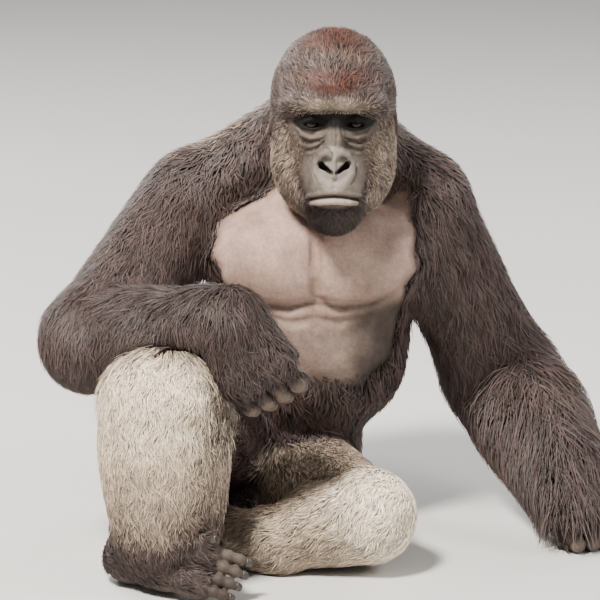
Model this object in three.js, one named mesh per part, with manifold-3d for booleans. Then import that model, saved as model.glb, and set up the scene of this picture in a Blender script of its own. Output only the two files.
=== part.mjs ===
// A life-size adult male gorilla, sitting on level ground with one knee raised.
// The right forearm rests over the raised right knee, the left leg is folded flat
// in front of the body and the left arm props the trunk on its knuckles.
// Units are millimetres, +Z is up, the animal faces -Y and its left side is +X.
// The origin is on the ground under the pelvis.
import * as THREE from "three";
import { mergeVertices } from "three/addons/utils/BufferGeometryUtils.js";
import Module from "manifold-3d";

const wasm = await Module();
wasm.setup();

const at = (x, y, z) => new THREE.Vector3(x, y, z);

// ---------------------------------------------------------------------------
// Driving dimensions
// ---------------------------------------------------------------------------
const GAP = 0.3; // between pieces that meet
const PRESS_GAP = 1.2; // between limbs that lie on each other
const GROUND_REACH = 1700; // width of the block that levels what touches the ground
const TRIM_REACH = 900; // width of the block that trims a limb at a joint
const MARCH = 7; // step of the search for the skin along a ray
const HALVINGS = 12; // halvings that then close in on the skin
const BEYOND = 30; // how far a wrap runs past the plane that trims it

// Joint centres of the pose.
const JOINTS = {
  pelvis: at(12, 25, 150),
  waist: at(45, 25, 255),
  ribs: at(80, 25, 375),
  collar: at(108, 30, 590),
  nape: at(120, 0, 780),
  head: at(131, -135, 768),
  right: {
    shoulder: at(-132, 20, 598),
    elbow: at(-310, -275, 420),
    wrist: at(-62, -398, 496),
    knuckles: at(-2, -444, 398),
    hip: at(-85, -80, 172),
    knee: at(-174, -398, 328),
    ankle: at(-168, -430, 98),
    heel: at(-232, -396, 44),
    ball: at(-96, -512, 58),
  },
  left: {
    shoulder: at(296, 4, 604),
    elbow: at(460, 122, 252),
    wrist: at(580, -132, 112),
    knuckles: at(612, -196, 66),
    hip: at(72, 5, 118),
    knee: at(194, -330, 102),
    ankle: at(6, -322, 56),
    heel: at(40, -334, 42),
    ball: at(-112, -250, 44),
  },
};

const HEAD_PITCH = 4; // degrees that the face looks up
const FACE_RINGS = [
  6, 10.5, 14.5, 18, 21.5, 25, 28.5, 32, 36, 40.5, 46, 53, 63, 77, 92, 107, 121, 134, 146, 157, 168,
]; // degrees from the middle of the face at which its mesh has a ring
const HEAD_REACH = 220; // longest way from inside the head to its skin
const EYE = { x: 40, y: -80, z: 31, radius: 14.5 }; // in the head's own frame
const FOLD = {
  points: [
    [16, 14],
    [28, 3],
    [44, 1],
    [60, 8],
    [70, 22],
  ], // x and z of the fold under the eye
  radius: 5,
  out: -2,
};
const NOSE_WING = {
  points: [
    [4, -131, -27],
    [18, -130, -25],
    [31, -119, -37],
    [30, -117, -54],
    [16, -127, -62],
    [2, -129, -61],
  ], // round the outside of the nostril
  radius: 7.5,
};
const BROW = {
  points: [
    [-86, -66, 53],
    [-60, -88, 64],
    [-26, -103, 69],
    [26, -103, 69],
    [60, -88, 64],
    [86, -66, 53],
  ],
  radius: 17,
};
const MOUTH = {
  half: 50,
  dip: 13, // of the corners
  line: -101.5,
  lips: [
    [-96, 5.5, 0],
    [-107.5, 6.5, 1],
  ], // height, thickness and how far each lip stands out
};
const FINGER = {
  pitch: 31, // between neighbouring knuckles
  names: ["little", "ring", "middle", "index"],
  scale: [0.84, 0.96, 1, 0.95],
  lengths: [54, 38, 24],
  radius: 14,
  curl: { right: [28, 62, 52], left: [30, 105, 15] },
};
const THUMB = { lengths: [16, 34, 28], radius: 12.5, curl: [12, 20, 26], spread: 0.3 };
const TOE = {
  pitch: 23, // between neighbouring toes
  names: ["fifth", "fourth", "third", "second"],
  scale: [0.82, 0.92, 1, 1],
  lengths: [32, 22, 16],
  radius: 10.4,
  curl: [12, 38, 30],
};
const BIG_TOE = { lengths: [16, 34, 26], radius: 15.5, curl: [-24, 4, 8], spread: 0.2 };

// Long hair of the arms. It lies from the shoulder and from the wrist to the elbow.
const LOCK = { rings: 3, sides: 3, tip: 0.28, spread: 0.25, clear: 5, seed: 7 };
const COAT = {
  upperArm: {
    span: [0.4, 0.93], // share of the limb's length that carries locks
    rows: 3,
    round: 6,
    length: { right: [74, 80], left: [80, 96] }, // at the start and at the end of the span
    wide: 36,
    thick: 6,
    lifts: [-8, 3, 7, 9], // from the skin, from the root to near the tip
    droop: 0.2, // of the length, at the tip of a lock that hangs free
    hang: 0.5, // pull of gravity on the lie
    way: 1, // towards the elbow
  },
  forearm: {
    span: [0.1, 0.84],
    rows: 4,
    round: 6,
    length: { right: [76, 76], left: [108, 100] },
    wide: 40,
    thick: 6,
    lifts: [-8, 4, 9, 11],
    droop: 0.3,
    hang: 1,
    way: -1,
  },
};

// ---------------------------------------------------------------------------
// Forms: each is a function from a point to its distance from the surface
// ---------------------------------------------------------------------------
const clamp01 = (x) => Math.min(1, Math.max(0, x));

/** A cone with round ends, from radius ra at a to rb at b. */
function limb(a, b, ra, rb) {
  const span = b.clone().sub(a);
  const squared = span.lengthSq();
  return (p) => {
    const dx = p.x - a.x;
    const dy = p.y - a.y;
    const dz = p.z - a.z;
    const t = clamp01((dx * span.x + dy * span.y + dz * span.z) / squared);
    const off = Math.hypot(dx - span.x * t, dy - span.y * t, dz - span.z * t);
    return off - (ra + (rb - ra) * t);
  };
}

/** An ellipsoid of half axes size, turned by degrees about X, Y and Z. */
function egg(centre, size, degrees = [0, 0, 0]) {
  const [ax, ay, az] = degrees.map(THREE.MathUtils.degToRad);
  const turn = new THREE.Matrix4()
    .makeRotationFromEuler(new THREE.Euler(ax, ay, az))
    .setPosition(centre)
    .invert();
  const q = new THREE.Vector3();
  return (p) => {
    q.copy(p).applyMatrix4(turn);
    const near = Math.hypot(q.x / size.x, q.y / size.y, q.z / size.z);
    const steep = Math.hypot(q.x / size.x ** 2, q.y / size.y ** 2, q.z / size.z ** 2);
    return steep < 1e-9 ? -size.x : (near * (near - 1)) / steep;
  };
}

/** The union of forms, with fillets about as wide as width. */
function blend(width, ...forms) {
  return (p) =>
    forms.reduce((d, form) => {
      const e = form(p);
      const h = Math.max(width - Math.abs(d - e), 0) / width;
      return Math.min(d, e) - (h * h * width) / 4;
    }, 1e6);
}

/** form without taken, with an edge about as soft as width. */
function hollow(width, form, taken) {
  return (p) => {
    const d = form(p);
    const e = -taken(p);
    const h = Math.max(width - Math.abs(d - e), 0) / width;
    return Math.max(d, e) + (h * h * width) / 4;
  };
}

/** A plane is a point and the unit normal out of the node that it trims. */
const plane = (point, normal) => ({ point, normal: normal.clone().normalize() });
const side = ({ point, normal }, p) =>
  (p.x - point.x) * normal.x + (p.y - point.y) * normal.y + (p.z - point.z) * normal.z;
const flipped = ({ point, normal }) => ({ point, normal: normal.clone().negate() });
const moved = ({ point, normal }, by) => ({ point: along(point, normal, by), normal });

/** form as far as each plane and a little beyond it. */
function within(form, planes) {
  return (p) => planes.reduce((d, cut) => Math.max(d, side(cut, p) - BEYOND), form(p));
}

const towards = (a, b) => b.clone().sub(a).normalize();
const mix = (a, b, t) => a.clone().lerp(b, t);
const shifted = (a, x, y, z) => a.clone().add(at(x, y, z));
const along = (a, direction, length) => a.clone().addScaledVector(direction, length);
const mirrored = (make) => [make(-1), make(1)];

// ---------------------------------------------------------------------------
// Meshes: tubes and balls whose vertices lie on a form
// ---------------------------------------------------------------------------

/** Distance from start along direction at which form, grown by grow, ends. */
function exit(form, start, direction, reach, grow) {
  const p = new THREE.Vector3();
  const inside = (r) => form(p.copy(direction).multiplyScalar(r).add(start)) < grow;
  let far = MARCH;
  while (far < reach && inside(far)) far += MARCH;
  let near = far - MARCH;
  for (let i = 0; i < HALVINGS; i++) {
    const middle = (near + far) / 2;
    if (inside(middle)) near = middle;
    else far = middle;
  }
  return Math.max(near, 1);
}

/** A closed mesh from rings of points, with a point at each end and short diagonals. */
function ringMesh(first, rings, last) {
  const sides = rings[0].length;
  const points = [first, ...rings.flat(), last];
  const faces = [];
  const vertex = (ring, k) => 1 + ring * sides + (k % sides);
  for (let k = 0; k < sides; k++) {
    faces.push(0, vertex(0, k + 1), vertex(0, k));
    for (let r = 0; r + 1 < rings.length; r++) {
      const [a, b] = [vertex(r, k), vertex(r, k + 1)];
      const [d, c] = [vertex(r + 1, k), vertex(r + 1, k + 1)];
      const direct = points[a].distanceTo(points[c]) <= points[b].distanceTo(points[d]);
      faces.push(...(direct ? [a, b, c, a, c, d] : [a, b, d, b, c, d]));
    }
    faces.push(points.length - 1, vertex(rings.length - 1, k), vertex(rings.length - 1, k + 1));
  }
  return new THREE.BufferGeometry().setFromPoints(points).setIndex(faces);
}

/** Two unit vectors square to axis, the first as near to guide as can be. */
function across(axis, guide) {
  const u = along(guide, axis, -guide.dot(axis)).normalize();
  return [u, axis.clone().cross(u)];
}

/** The points of one ring at which rays from centre, raised by tilt, leave a form. */
function rayRing({ form, reach, grow, sides, u, v, axis }, centre, tilt) {
  return Array.from({ length: sides }, (_, k) => {
    const angle = (k / sides) * 2 * Math.PI;
    const direction = u
      .clone()
      .multiplyScalar(Math.cos(angle) * Math.cos(tilt))
      .addScaledVector(v, Math.sin(angle) * Math.cos(tilt))
      .addScaledVector(axis, Math.sin(tilt));
    return along(centre, direction, exit(form, centre, direction, reach, grow));
  });
}

/** A form wrapped by rings square to the line from a to b, and by a dome at each end. */
function wrapTube({ form, a, b, rings, sides, guide, domes, reach = 340, grow = 0 }) {
  const axis = towards(a, b);
  const [u, v] = across(axis, guide);
  const rays = { form, reach, grow, sides, u, v, axis };
  const tilts = (count) =>
    Array.from({ length: count }, (_, k) => ((k + 1) / (count + 1)) * (Math.PI / 2));
  const start = tilts(domes[0]).reverse();
  const all = [
    ...start.map((tilt) => rayRing(rays, a, -tilt)),
    ...Array.from({ length: rings }, (_, k) => rayRing(rays, mix(a, b, k / (rings - 1)), 0)),
    ...tilts(domes[1]).map((tilt) => rayRing(rays, b, tilt)),
  ];
  const back = axis.clone().negate();
  const pole = (centre, direction, domed) =>
    domed ? along(centre, direction, exit(form, centre, direction, reach, grow)) : centre;
  return ringMesh(pole(a, back, domes[0]), all, pole(b, axis, domes[1]));
}

/** A form wrapped by rings round a pole, at the given degrees from it. */
function wrapBall({ form, centre, pole, guide, degrees, sides, reach = 320, grow = 0 }) {
  const axis = pole.clone().normalize();
  const [u, v] = across(axis, guide);
  const rays = { form, reach, grow, sides, u, v, axis };
  const tip = (direction) =>
    along(centre, direction, exit(form, centre, direction, reach, grow));
  const rings = degrees.map((angle) =>
    rayRing(rays, centre, Math.PI / 2 - THREE.MathUtils.degToRad(angle)),
  );
  return ringMesh(tip(axis), rings, tip(axis.clone().negate()));
}

/** A closed tube along points, of oval section: radii(t) gives [wide, thick]. */
function sweep({ points, radii, guide, sides, rings, blunt = 0 }) {
  const curve = new THREE.CatmullRomCurve3(points);
  const rows = Array.from({ length: rings }, (_, k) => {
    const t = k / (rings - 1);
    const [u, v] = across(curve.getTangent(t), guide);
    const [wide, thick] = radii(t);
    return Array.from({ length: sides }, (_, j) => {
      const angle = (j / sides) * 2 * Math.PI;
      return curve
        .getPoint(t)
        .addScaledVector(u, Math.cos(angle) * wide)
        .addScaledVector(v, Math.sin(angle) * thick);
    });
  });
  return ringMesh(
    along(curve.getPoint(0), curve.getTangent(0), -blunt),
    rows,
    along(curve.getPoint(1), curve.getTangent(1), blunt),
  );
}

/** An ellipsoid mesh of half axes size, turned by degrees about X, Y and Z. */
function pebble(centre, size, columns, rows, degrees = [0, 0, 0]) {
  const [ax, ay, az] = degrees.map(THREE.MathUtils.degToRad);
  return new THREE.SphereGeometry(1, columns, rows)
    .scale(size.x, size.y, size.z)
    .applyMatrix4(new THREE.Matrix4().makeRotationFromEuler(new THREE.Euler(ax, ay, az)))
    .translate(centre.x, centre.y, centre.z);
}

// ---------------------------------------------------------------------------
// Solids: joins and cuts
// ---------------------------------------------------------------------------

/** A closed three.js geometry as a solid, with its faces turned outward. */
function solid(geometry) {
  const bare = geometry.clone();
  bare.deleteAttribute("normal");
  bare.deleteAttribute("uv");
  const merged = mergeVertices(bare, 1e-4);
  const vertProperties = new Float32Array(merged.attributes.position.array);
  const triVerts = new Uint32Array(merged.index.array);
  const make = () => new wasm.Manifold(new wasm.Mesh({ numProp: 3, vertProperties, triVerts }));
  const made = make();
  if (made.volume() > 0) return made;
  for (let i = 0; i < triVerts.length; i += 3)
    [triVerts[i + 1], triVerts[i + 2]] = [triVerts[i + 2], triVerts[i + 1]];
  return make();
}

/** The largest closed piece of a solid. */
function largest(made) {
  return made
    .decompose()
    .reduce((best, piece) => (piece.volume() > best.volume() ? piece : best));
}

/** A solid as three.js geometry. */
function geometryOf(made) {
  const { numProp, numVert, vertProperties, triVerts } = made.getMesh();
  const position = new Float32Array(numVert * 3);
  for (let i = 0; i < numVert; i++)
    for (let k = 0; k < 3; k++) position[3 * i + k] = vertProperties[numProp * i + k];
  return new THREE.BufferGeometry()
    .setAttribute("position", new THREE.BufferAttribute(position, 3))
    .setIndex(new THREE.BufferAttribute(new Uint32Array(triVerts), 1));
}

/** A geometry with its +Y turned to direction and its origin moved to point. */
function laidAlong(geometry, point, direction) {
  return geometry
    .applyQuaternion(new THREE.Quaternion().setFromUnitVectors(at(0, 1, 0), direction))
    .translate(point.x, point.y, point.z);
}

/** A repeatable source of numbers from 0 to 1. */
function seeded(seed) {
  let state = seed;
  return () => {
    state = (state * 16807) % 2147483647;
    return state / 2147483647;
  };
}

/** The block that starts at the distance away beyond a plane. */
function beyond({ point, normal }, away, reach = TRIM_REACH) {
  const block = new THREE.BoxGeometry(reach, reach, reach).translate(0, reach / 2 + away, 0);
  return solid(laidAlong(block, point, normal));
}

/** The cylinder that stands on a plane, from the distance away beyond it. */
function plug({ point, normal }, { radius, depth }, away) {
  const rod = new THREE.CylinderGeometry(radius, radius, depth, 28);
  return solid(laidAlong(rod.translate(0, depth / 2 + away, 0), point, normal));
}

const GROUND = beyond(plane(at(0, 0, 0), at(0, 0, -1)), 0, GROUND_REACH);

/** made as far as each plane, less half a gap, or past it by grow. */
const trim = (made, planes, grow = 0) =>
  planes.reduce((rest, cut) => rest.subtract(beyond(cut, grow || -GAP / 2)), made);

// ---------------------------------------------------------------------------
// Flesh and coat of trunk and limbs
// ---------------------------------------------------------------------------
const torsoForm = blend(
  55,
  egg(at(98, 28, 485), at(206, 182, 205)),
  egg(at(98, 95, 560), at(188, 112, 150)),
  egg(at(8, -100, 525), at(120, 80, 84), [0, 0, -8]),
  egg(at(188, -100, 525), at(120, 80, 84), [0, 0, 8]),
  egg(at(74, 5, 318), at(198, 172, 160)),
  egg(at(14, 16, 152), at(158, 144, 158)),
  egg(at(-72, 48, 118), at(118, 122, 124)),
  egg(at(84, 72, 110), at(98, 118, 118)),
);
const trapezius = blend(
  40,
  limb(at(58, 25, 744), at(-112, 20, 632), 70, 78),
  limb(at(196, 22, 718), at(300, 15, 628), 66, 74),
);
const neckForm = limb(at(110, 60, 620), at(130, -45, 800), 128, 106);

const WRIST = { right: 52, left: 58 }; // radius of the arm at the wrist

function armForm(name) {
  const { shoulder, elbow, wrist } = JOINTS[name];
  const [top, bottom, tip, fore, thin] =
    name === "right"
      ? [100, 80, shifted(elbow, -10, 8, -30), 64, WRIST.right]
      : [88, 80, shifted(elbow, 42, 20, -8), 84, WRIST.left];
  return blend(
    40,
    limb(shoulder, elbow, top, bottom),
    limb(elbow, mix(elbow, wrist, 0.45), bottom - 2, fore),
    limb(mix(elbow, wrist, 0.4), wrist, fore, thin),
    limb(elbow, tip, 66, 54),
    ...(name === "left"
      ? [
          limb(shifted(elbow, -10, -20, -20), shifted(wrist, -34, 0, -20), 76, 46),
          limb(shifted(shoulder, 0, -20, -70), shifted(elbow, -40, -26, 10), 60, 66),
        ]
      : []),
  );
}

function legForm(name) {
  const { hip, knee, ankle } = JOINTS[name];
  return name === "right"
    ? blend(
        45,
        limb(hip, knee, 122, 100),
        limb(shifted(knee, -16, 0, -8), shifted(knee, 18, 0, -8), 98, 98),
        limb(knee, mix(knee, ankle, 0.5), 100, 108),
        limb(mix(knee, ankle, 0.4), shifted(ankle, -24, 0, 0), 104, 82),
        limb(mix(knee, ankle, 0.4), shifted(ankle, 22, 0, 0), 104, 82),
        limb(shifted(knee, 0, 30, -90), shifted(ankle, 0, 26, 60), 102, 88),
      )
    : blend(
        40,
        limb(hip, mix(hip, knee, 0.6), 92, 70),
        limb(at(10, -40, 108), at(120, -270, 84), 104, 72),
        limb(mix(hip, knee, 0.5), knee, 70, 85),
        limb(knee, mix(knee, ankle, 0.5), 84, 70),
        limb(mix(knee, ankle, 0.4), ankle, 70, 54),
      );
}

const ARM = { right: armForm("right"), left: armForm("left") };
const LEG = { right: legForm("right"), left: legForm("left") };
const trunkForm = blend(40, torsoForm, trapezius, neckForm, ARM.right, ARM.left);
const hipsForm = blend(40, torsoForm, LEG.right, LEG.left);

// ---------------------------------------------------------------------------
// Head, in its own frame: origin at its centre, facing -Y
// ---------------------------------------------------------------------------
const HEAD_PLACE = new THREE.Matrix4()
  .makeRotationX(THREE.MathUtils.degToRad(-HEAD_PITCH))
  .setPosition(JOINTS.head);
const inHead = (x, y, z) => at(x, y, z).applyMatrix4(HEAD_PLACE);

function faceForm() {
  const skull = blend(
    36,
    egg(at(0, 15, 66), at(116, 124, 127)),
    egg(at(0, 50, 20), at(102, 112, 108)),
    egg(at(0, 2, -48), at(116, 98, 119)),
  );
  const muzzle = blend(
    22,
    egg(at(0, -80, -82), at(56, 62, 54)),
    egg(at(0, -100, -104), at(50, 38, 26)),
    egg(at(0, -84, -136), at(44, 42, 32)),
  );
  const brow = blend(
    12,
    ...mirrored((way) => limb(at(way * 78, -70, 60), at(way * 26, -96, 70), 13, 17)),
    limb(at(-26, -96, 70), at(26, -96, 70), 16, 16),
  );
  const nose = blend(
    14,
    limb(at(0, -90, 48), at(0, -117, -26), 14, 19),
    egg(at(0, -112, -44), at(38, 26, 27)),
  );
  const sockets = blend(
    10,
    ...mirrored((way) => egg(at(way * EYE.x, -114, EYE.z), at(28, 27, 19))),
  );
  const lids = mirrored((way) => egg(at(way * EYE.x, EYE.y + 1, EYE.z), at(22, 17, 17)));
  const face = blend(16, blend(26, skull, muzzle), brow);
  return blend(12, hollow(12, face, sockets), nose, ...lids);
}

const headForm = (() => {
  const face = faceForm();
  const back = HEAD_PLACE.clone().invert();
  const local = new THREE.Vector3();
  return (p) => face(local.copy(p).applyMatrix4(back));
})();

// ---------------------------------------------------------------------------
// Joint planes, each facing away from the trunk
// ---------------------------------------------------------------------------
function bendPlanes(name) {
  const j = JOINTS[name];
  const bend = (a, b, c) => plane(b, towards(a, b).add(towards(b, c)));
  return {
    elbow: bend(j.shoulder, j.elbow, j.wrist),
    wrist: bend(j.elbow, j.wrist, j.knuckles),
    knuckles: plane(j.knuckles, towards(j.wrist, j.knuckles)),
    knee: bend(j.hip, j.knee, j.ankle),
    toes: plane(j.ball, towards(j.heel, j.ball)),
  };
}
const PLANES = {
  right: {
    ...bendPlanes("right"),
    shoulder: plane(at(-146, -15, 590), at(-0.9, -0.38, -0.2)),
    hip: plane(at(-95, -118, 190), at(-0.28, -0.86, 0.42)),
    ankle: plane(shifted(JOINTS.right.ankle, 0, 0, -8), at(0.1, -0.2, -1)),
  },
  left: {
    ...bendPlanes("left"),
    shoulder: plane(at(306, 5, 590), at(0.98, 0.12, -0.06)),
    hip: plane(at(96, -60, 120), at(0.35, -0.94, 0)),
    ankle: plane(shifted(JOINTS.left.ankle, 4, 2, 0), at(-1, 0.25, -0.05)),
  },
};
const THROAT = plane(at(128, -45, 738), at(0, -0.73, 0.68));
const COLLAR = plane(at(112, 20, 718), at(0, -0.33, 0.94));
const WAIST = plane(JOINTS.waist, towards(JOINTS.pelvis, JOINTS.ribs));
const RIBS = plane(JOINTS.ribs, towards(JOINTS.waist, JOINTS.collar));
const ARMPIT = {
  right: plane(at(0, 0, 505), at(0, 0, -1)),
  left: plane(at(0, 0, 550), at(0, 0, -1)),
};
const SHOULDER_PLUG = { radius: 190, depth: 190 };
const SHOULDER_SEAT = { radius: 132, depth: 42 };
const HIP_PLUG = { right: { radius: 170, depth: 170 }, left: { radius: 150, depth: 150 } };

// ---------------------------------------------------------------------------
// Trunk and limbs. Each node is a function of the thickness to grow by.
// ---------------------------------------------------------------------------
const front = at(0, -1, 0);
const up = at(0, 0, 1);

function pelvis(grow) {
  const wrapped = wrapTube({
    form: within(hipsForm, [WAIST, PLANES.right.hip, PLANES.left.hip]),
    a: shifted(JOINTS.pelvis, 0, 0, -20),
    b: shifted(JOINTS.waist, 6, 0, 20),
    rings: 6,
    sides: 20,
    guide: front,
    domes: [4, 0],
    grow,
  });
  return ["right", "left"].reduce(
    (rest, name) => rest.subtract(plug(PLANES[name].hip, HIP_PLUG[name], -GAP / 2)),
    trim(solid(wrapped), [WAIST], grow),
  );
}

function abdomen(grow) {
  const cuts = [flipped(WAIST), RIBS];
  const wrapped = wrapTube({
    form: within(torsoForm, cuts),
    a: shifted(JOINTS.waist, -8, 0, -28),
    b: shifted(JOINTS.ribs, 8, 0, 28),
    rings: 7,
    sides: 24,
    guide: front,
    domes: [0, 0],
    grow,
  });
  return trim(solid(wrapped), cuts, grow);
}

/** The upper arm with the part of the shoulder that belongs to the chest. */
const shoulderAndArm = (name, grow) =>
  limbLength({
    form: trunkForm,
    a: JOINTS[name].shoulder,
    b: JOINTS[name].elbow,
    before: moved(PLANES[name].shoulder, -SHOULDER_SEAT.depth),
    after: PLANES[name].elbow,
    rings: 9,
    sides: 16,
    guide: front,
    domes: [6, 3],
    grow,
  });

/** The place in the chest that the root of the arm fills, widened by lap. */
function shoulderSeat(name, lap) {
  const size = { radius: SHOULDER_SEAT.radius + lap, depth: SHOULDER_SEAT.depth + 2 * lap };
  return plug(moved(PLANES[name].shoulder, -SHOULDER_SEAT.depth - lap), size, 0).subtract(
    beyond(ARMPIT[name], lap),
  );
}

function chest(grow) {
  const wrapped = wrapTube({
    form: within(trunkForm, [
      flipped(RIBS),
      PLANES.right.shoulder,
      PLANES.left.shoulder,
      COLLAR,
    ]),
    a: shifted(JOINTS.ribs, -6, 0, -26),
    b: JOINTS.collar,
    rings: 10,
    sides: 32,
    guide: front,
    domes: [0, 7],
    grow,
  });
  return ["right", "left"].reduce((rest, name) => {
    const { shoulder } = PLANES[name];
    const stub = trim(shoulderAndArm(name, grow), [shoulder, COLLAR], grow);
    return rest
      .subtract(plug(shoulder, SHOULDER_PLUG, -GAP / 2))
      .subtract(shoulderSeat(name, 0))
      .add(stub.intersect(shoulderSeat(name, 1)));
  }, trim(solid(wrapped), [flipped(RIBS), COLLAR], grow));
}

function neck(grow) {
  const cuts = [flipped(COLLAR), THROAT];
  const wrapped = wrapTube({
    form: within(blend(40, torsoForm, trapezius, neckForm), cuts),
    a: shifted(COLLAR.point, 0, 0, -14),
    b: JOINTS.nape,
    rings: 6,
    sides: 30,
    guide: front,
    domes: [3, 3],
    grow,
  });
  return trim(solid(wrapped), cuts, grow);
}

/** One length of a limb, between the plane before it and the plane after it. */
function limbLength({ form, a, b, before, after, rings, sides, guide, domes, grow }) {
  const cuts = [flipped(before), after];
  const wrapped = wrapTube({
    form: within(form, cuts),
    a,
    b,
    rings,
    sides,
    guide,
    domes,
    reach: 260,
    grow,
  });
  return trim(solid(wrapped), cuts, grow);
}

const upperArm = (name) => (grow) =>
  trim(shoulderAndArm(name, grow), [flipped(PLANES[name].shoulder)], grow);

const forearm = (name) => (grow) =>
  limbLength({
    form: ARM[name],
    a: JOINTS[name].elbow,
    b: JOINTS[name].wrist,
    before: PLANES[name].elbow,
    after: PLANES[name].wrist,
    rings: 9,
    sides: 16,
    guide: up,
    domes: [3, 2],
    grow,
  });

const thigh = (name) => (grow) =>
  limbLength({
    form: LEG[name],
    a: JOINTS[name].hip,
    b: JOINTS[name].knee,
    before: PLANES[name].hip,
    after: PLANES[name].knee,
    rings: 7,
    sides: 16,
    guide: up,
    domes: [2, 4],
    grow,
  });

const shin = (name) => (grow) =>
  limbLength({
    form: LEG[name],
    a: JOINTS[name].knee,
    b: JOINTS[name].ankle,
    before: PLANES[name].knee,
    after: PLANES[name].ankle,
    rings: 7,
    sides: 16,
    guide: name === "right" ? front : up,
    domes: [4, 3],
    grow,
  });

// ---------------------------------------------------------------------------
// Long hair
// ---------------------------------------------------------------------------

/** p moved out of form along its slope until it is lift away from the surface. */
function raised(form, p, lift) {
  const here = form(p);
  if (here >= lift) return p;
  const slope = at(form(shifted(p, 1, 0, 0)), form(shifted(p, 0, 1, 0)), form(shifted(p, 0, 0, 1)));
  return along(p, slope.subScalar(here).normalize(), lift - here);
}

/** One flat tapered lock, rooted in form at root, that lies over the surface or hangs free. */
function lock(form, root, out, lie, { length, wide, thick, lifts, droop }, grow) {
  const stem = length * (1 - LOCK.tip);
  const points = lifts.map((lift, i) => {
    const t = i / (lifts.length - 1);
    const fall = length * droop * t * t * clamp01(0.5 - out.z);
    const free = along(along(root, lie, stem * t), up, -fall);
    return i === 0 ? along(root, out, lift) : raised(form, free, lift);
  });
  return solid(
    sweep({
      points,
      radii: (t) => {
        const taper = 1 - 0.5 * t * t;
        return [thick * taper + 2 * grow, wide * taper + 2 * grow];
      },
      guide: out,
      sides: LOCK.sides,
      rings: LOCK.rings,
      blunt: length * LOCK.tip + 3 * grow,
    }),
  );
}

/** The locks of one length of a limb from a to b, rooted on form. */
function locks({ form, a, b, seed }, coat, [first, last], grow) {
  const random = seeded(seed);
  const vary = (amount) => 1 + amount * (2 * random() - 1);
  const axis = towards(a, b);
  const [u, v] = across(axis, up);
  const made = [];
  for (let row = 0; row < coat.rows; row++)
    for (let k = 0; k < coat.round; k++) {
      const share = (row + 0.5 * random()) / (coat.rows - 0.5);
      const t = coat.span[0] + (coat.span[1] - coat.span[0]) * share;
      const angle = ((k + (row % 2) / 2 + 0.3 * random()) / coat.round) * 2 * Math.PI;
      const out = u
        .clone()
        .multiplyScalar(Math.cos(angle))
        .addScaledVector(v, Math.sin(angle));
      const centre = mix(a, b, t);
      const root = along(centre, out, exit(form, centre, out, TRIM_REACH, 0));
      const sway = LOCK.spread * (2 * random() - 1);
      const lie = axis
        .clone()
        .multiplyScalar(coat.way)
        .addScaledVector(up, -coat.hang)
        .addScaledVector(axis.clone().cross(out), sway);
      lie.addScaledVector(out, -Math.min(0, lie.dot(out))).normalize();
      const wished = (first + (last - first) * share) * vary(0.18);
      const fall = Math.max(0.02, coat.droop - lie.z);
      const length = Math.min(wished, (root.z - LOCK.clear) / fall);
      const size = { ...coat, length, wide: coat.wide * vary(0.15) };
      if (length > coat.wide) made.push(lock(form, root, out, lie, size, grow));
    }
  return wasm.Manifold.union(made);
}

/** The locks of the upper arm as far as the elbow's plane. */
const upperArmLocks = (name) => (grow) =>
  trim(
    locks(
      { form: ARM[name], a: JOINTS[name].shoulder, b: JOINTS[name].elbow, seed: LOCK.seed },
      COAT.upperArm,
      COAT.upperArm.length[name],
      grow,
    ),
    [PLANES[name].elbow, flipped(PLANES[name].shoulder)],
    grow,
  );

/** The locks of the forearm, which fall past the elbow's plane. */
const forearmLocks = (name) =>
  trim(
    locks(
      { form: ARM[name], a: JOINTS[name].elbow, b: JOINTS[name].wrist, seed: 2 * LOCK.seed },
      COAT.forearm,
      COAT.forearm.length[name],
      0,
    ),
    [PLANES[name].wrist],
  );

// ---------------------------------------------------------------------------
// Hands and feet
// ---------------------------------------------------------------------------

/** The frame of a hand or foot: forward, up from its back, and to its thumb or big toe. */
function extremity(name, forward, back) {
  const [lift] = across(forward, back);
  const inner = lift.clone().cross(forward);
  return { forward, lift, inner: name === "right" ? inner : inner.negate() };
}
const HAND = {
  right: extremity("right", PLANES.right.knuckles.normal, at(-0.05, -1, 0.1)),
  left: extremity("left", PLANES.left.knuckles.normal, at(0.1, -0.4, 1)),
};
const FOOT = {
  right: extremity("right", PLANES.right.toes.normal, at(-0.47, -0.7, 0.53)),
  left: extremity("left", PLANES.left.toes.normal, at(-0.5, -0.69, 0.52)),
};

const palm = (name) => (grow) => {
  const { wrist, elbow, knuckles } = JOINTS[name];
  const { inner } = HAND[name];
  const rays = [-1.5, -0.5, 0.5, 1.5].map((k) =>
    limb(
      along(mix(wrist, knuckles, 0.1), inner, k * 20),
      along(knuckles, inner, k * FINGER.pitch),
      32,
      21,
    ),
  );
  return limbLength({
    form: blend(20, ...rays, limb(mix(elbow, wrist, 0.8), wrist, WRIST[name], WRIST[name] - 4)),
    a: wrist,
    b: knuckles,
    before: PLANES[name].wrist,
    after: PLANES[name].knuckles,
    rings: 5,
    sides: 16,
    guide: inner,
    domes: [2, 2],
    grow,
  });
};

const foot = (name) => (grow) => {
  const { ankle, heel, ball } = JOINTS[name];
  const { inner } = FOOT[name];
  return limbLength({
    form: blend(
      24,
      egg(heel, at(40, 42, 42)),
      limb(heel, along(ball, inner, TOE.pitch * 1.4), 38, 25),
      limb(heel, along(ball, inner, -TOE.pitch * 1.4), 38, 22),
      limb(ankle, mix(heel, ball, 0.45), 56, 46),
    ),
    a: heel,
    b: ball,
    before: PLANES[name].ankle,
    after: PLANES[name].toes,
    rings: 6,
    sides: 17,
    guide: up,
    domes: [3, 1],
    grow,
  });
};

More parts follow.
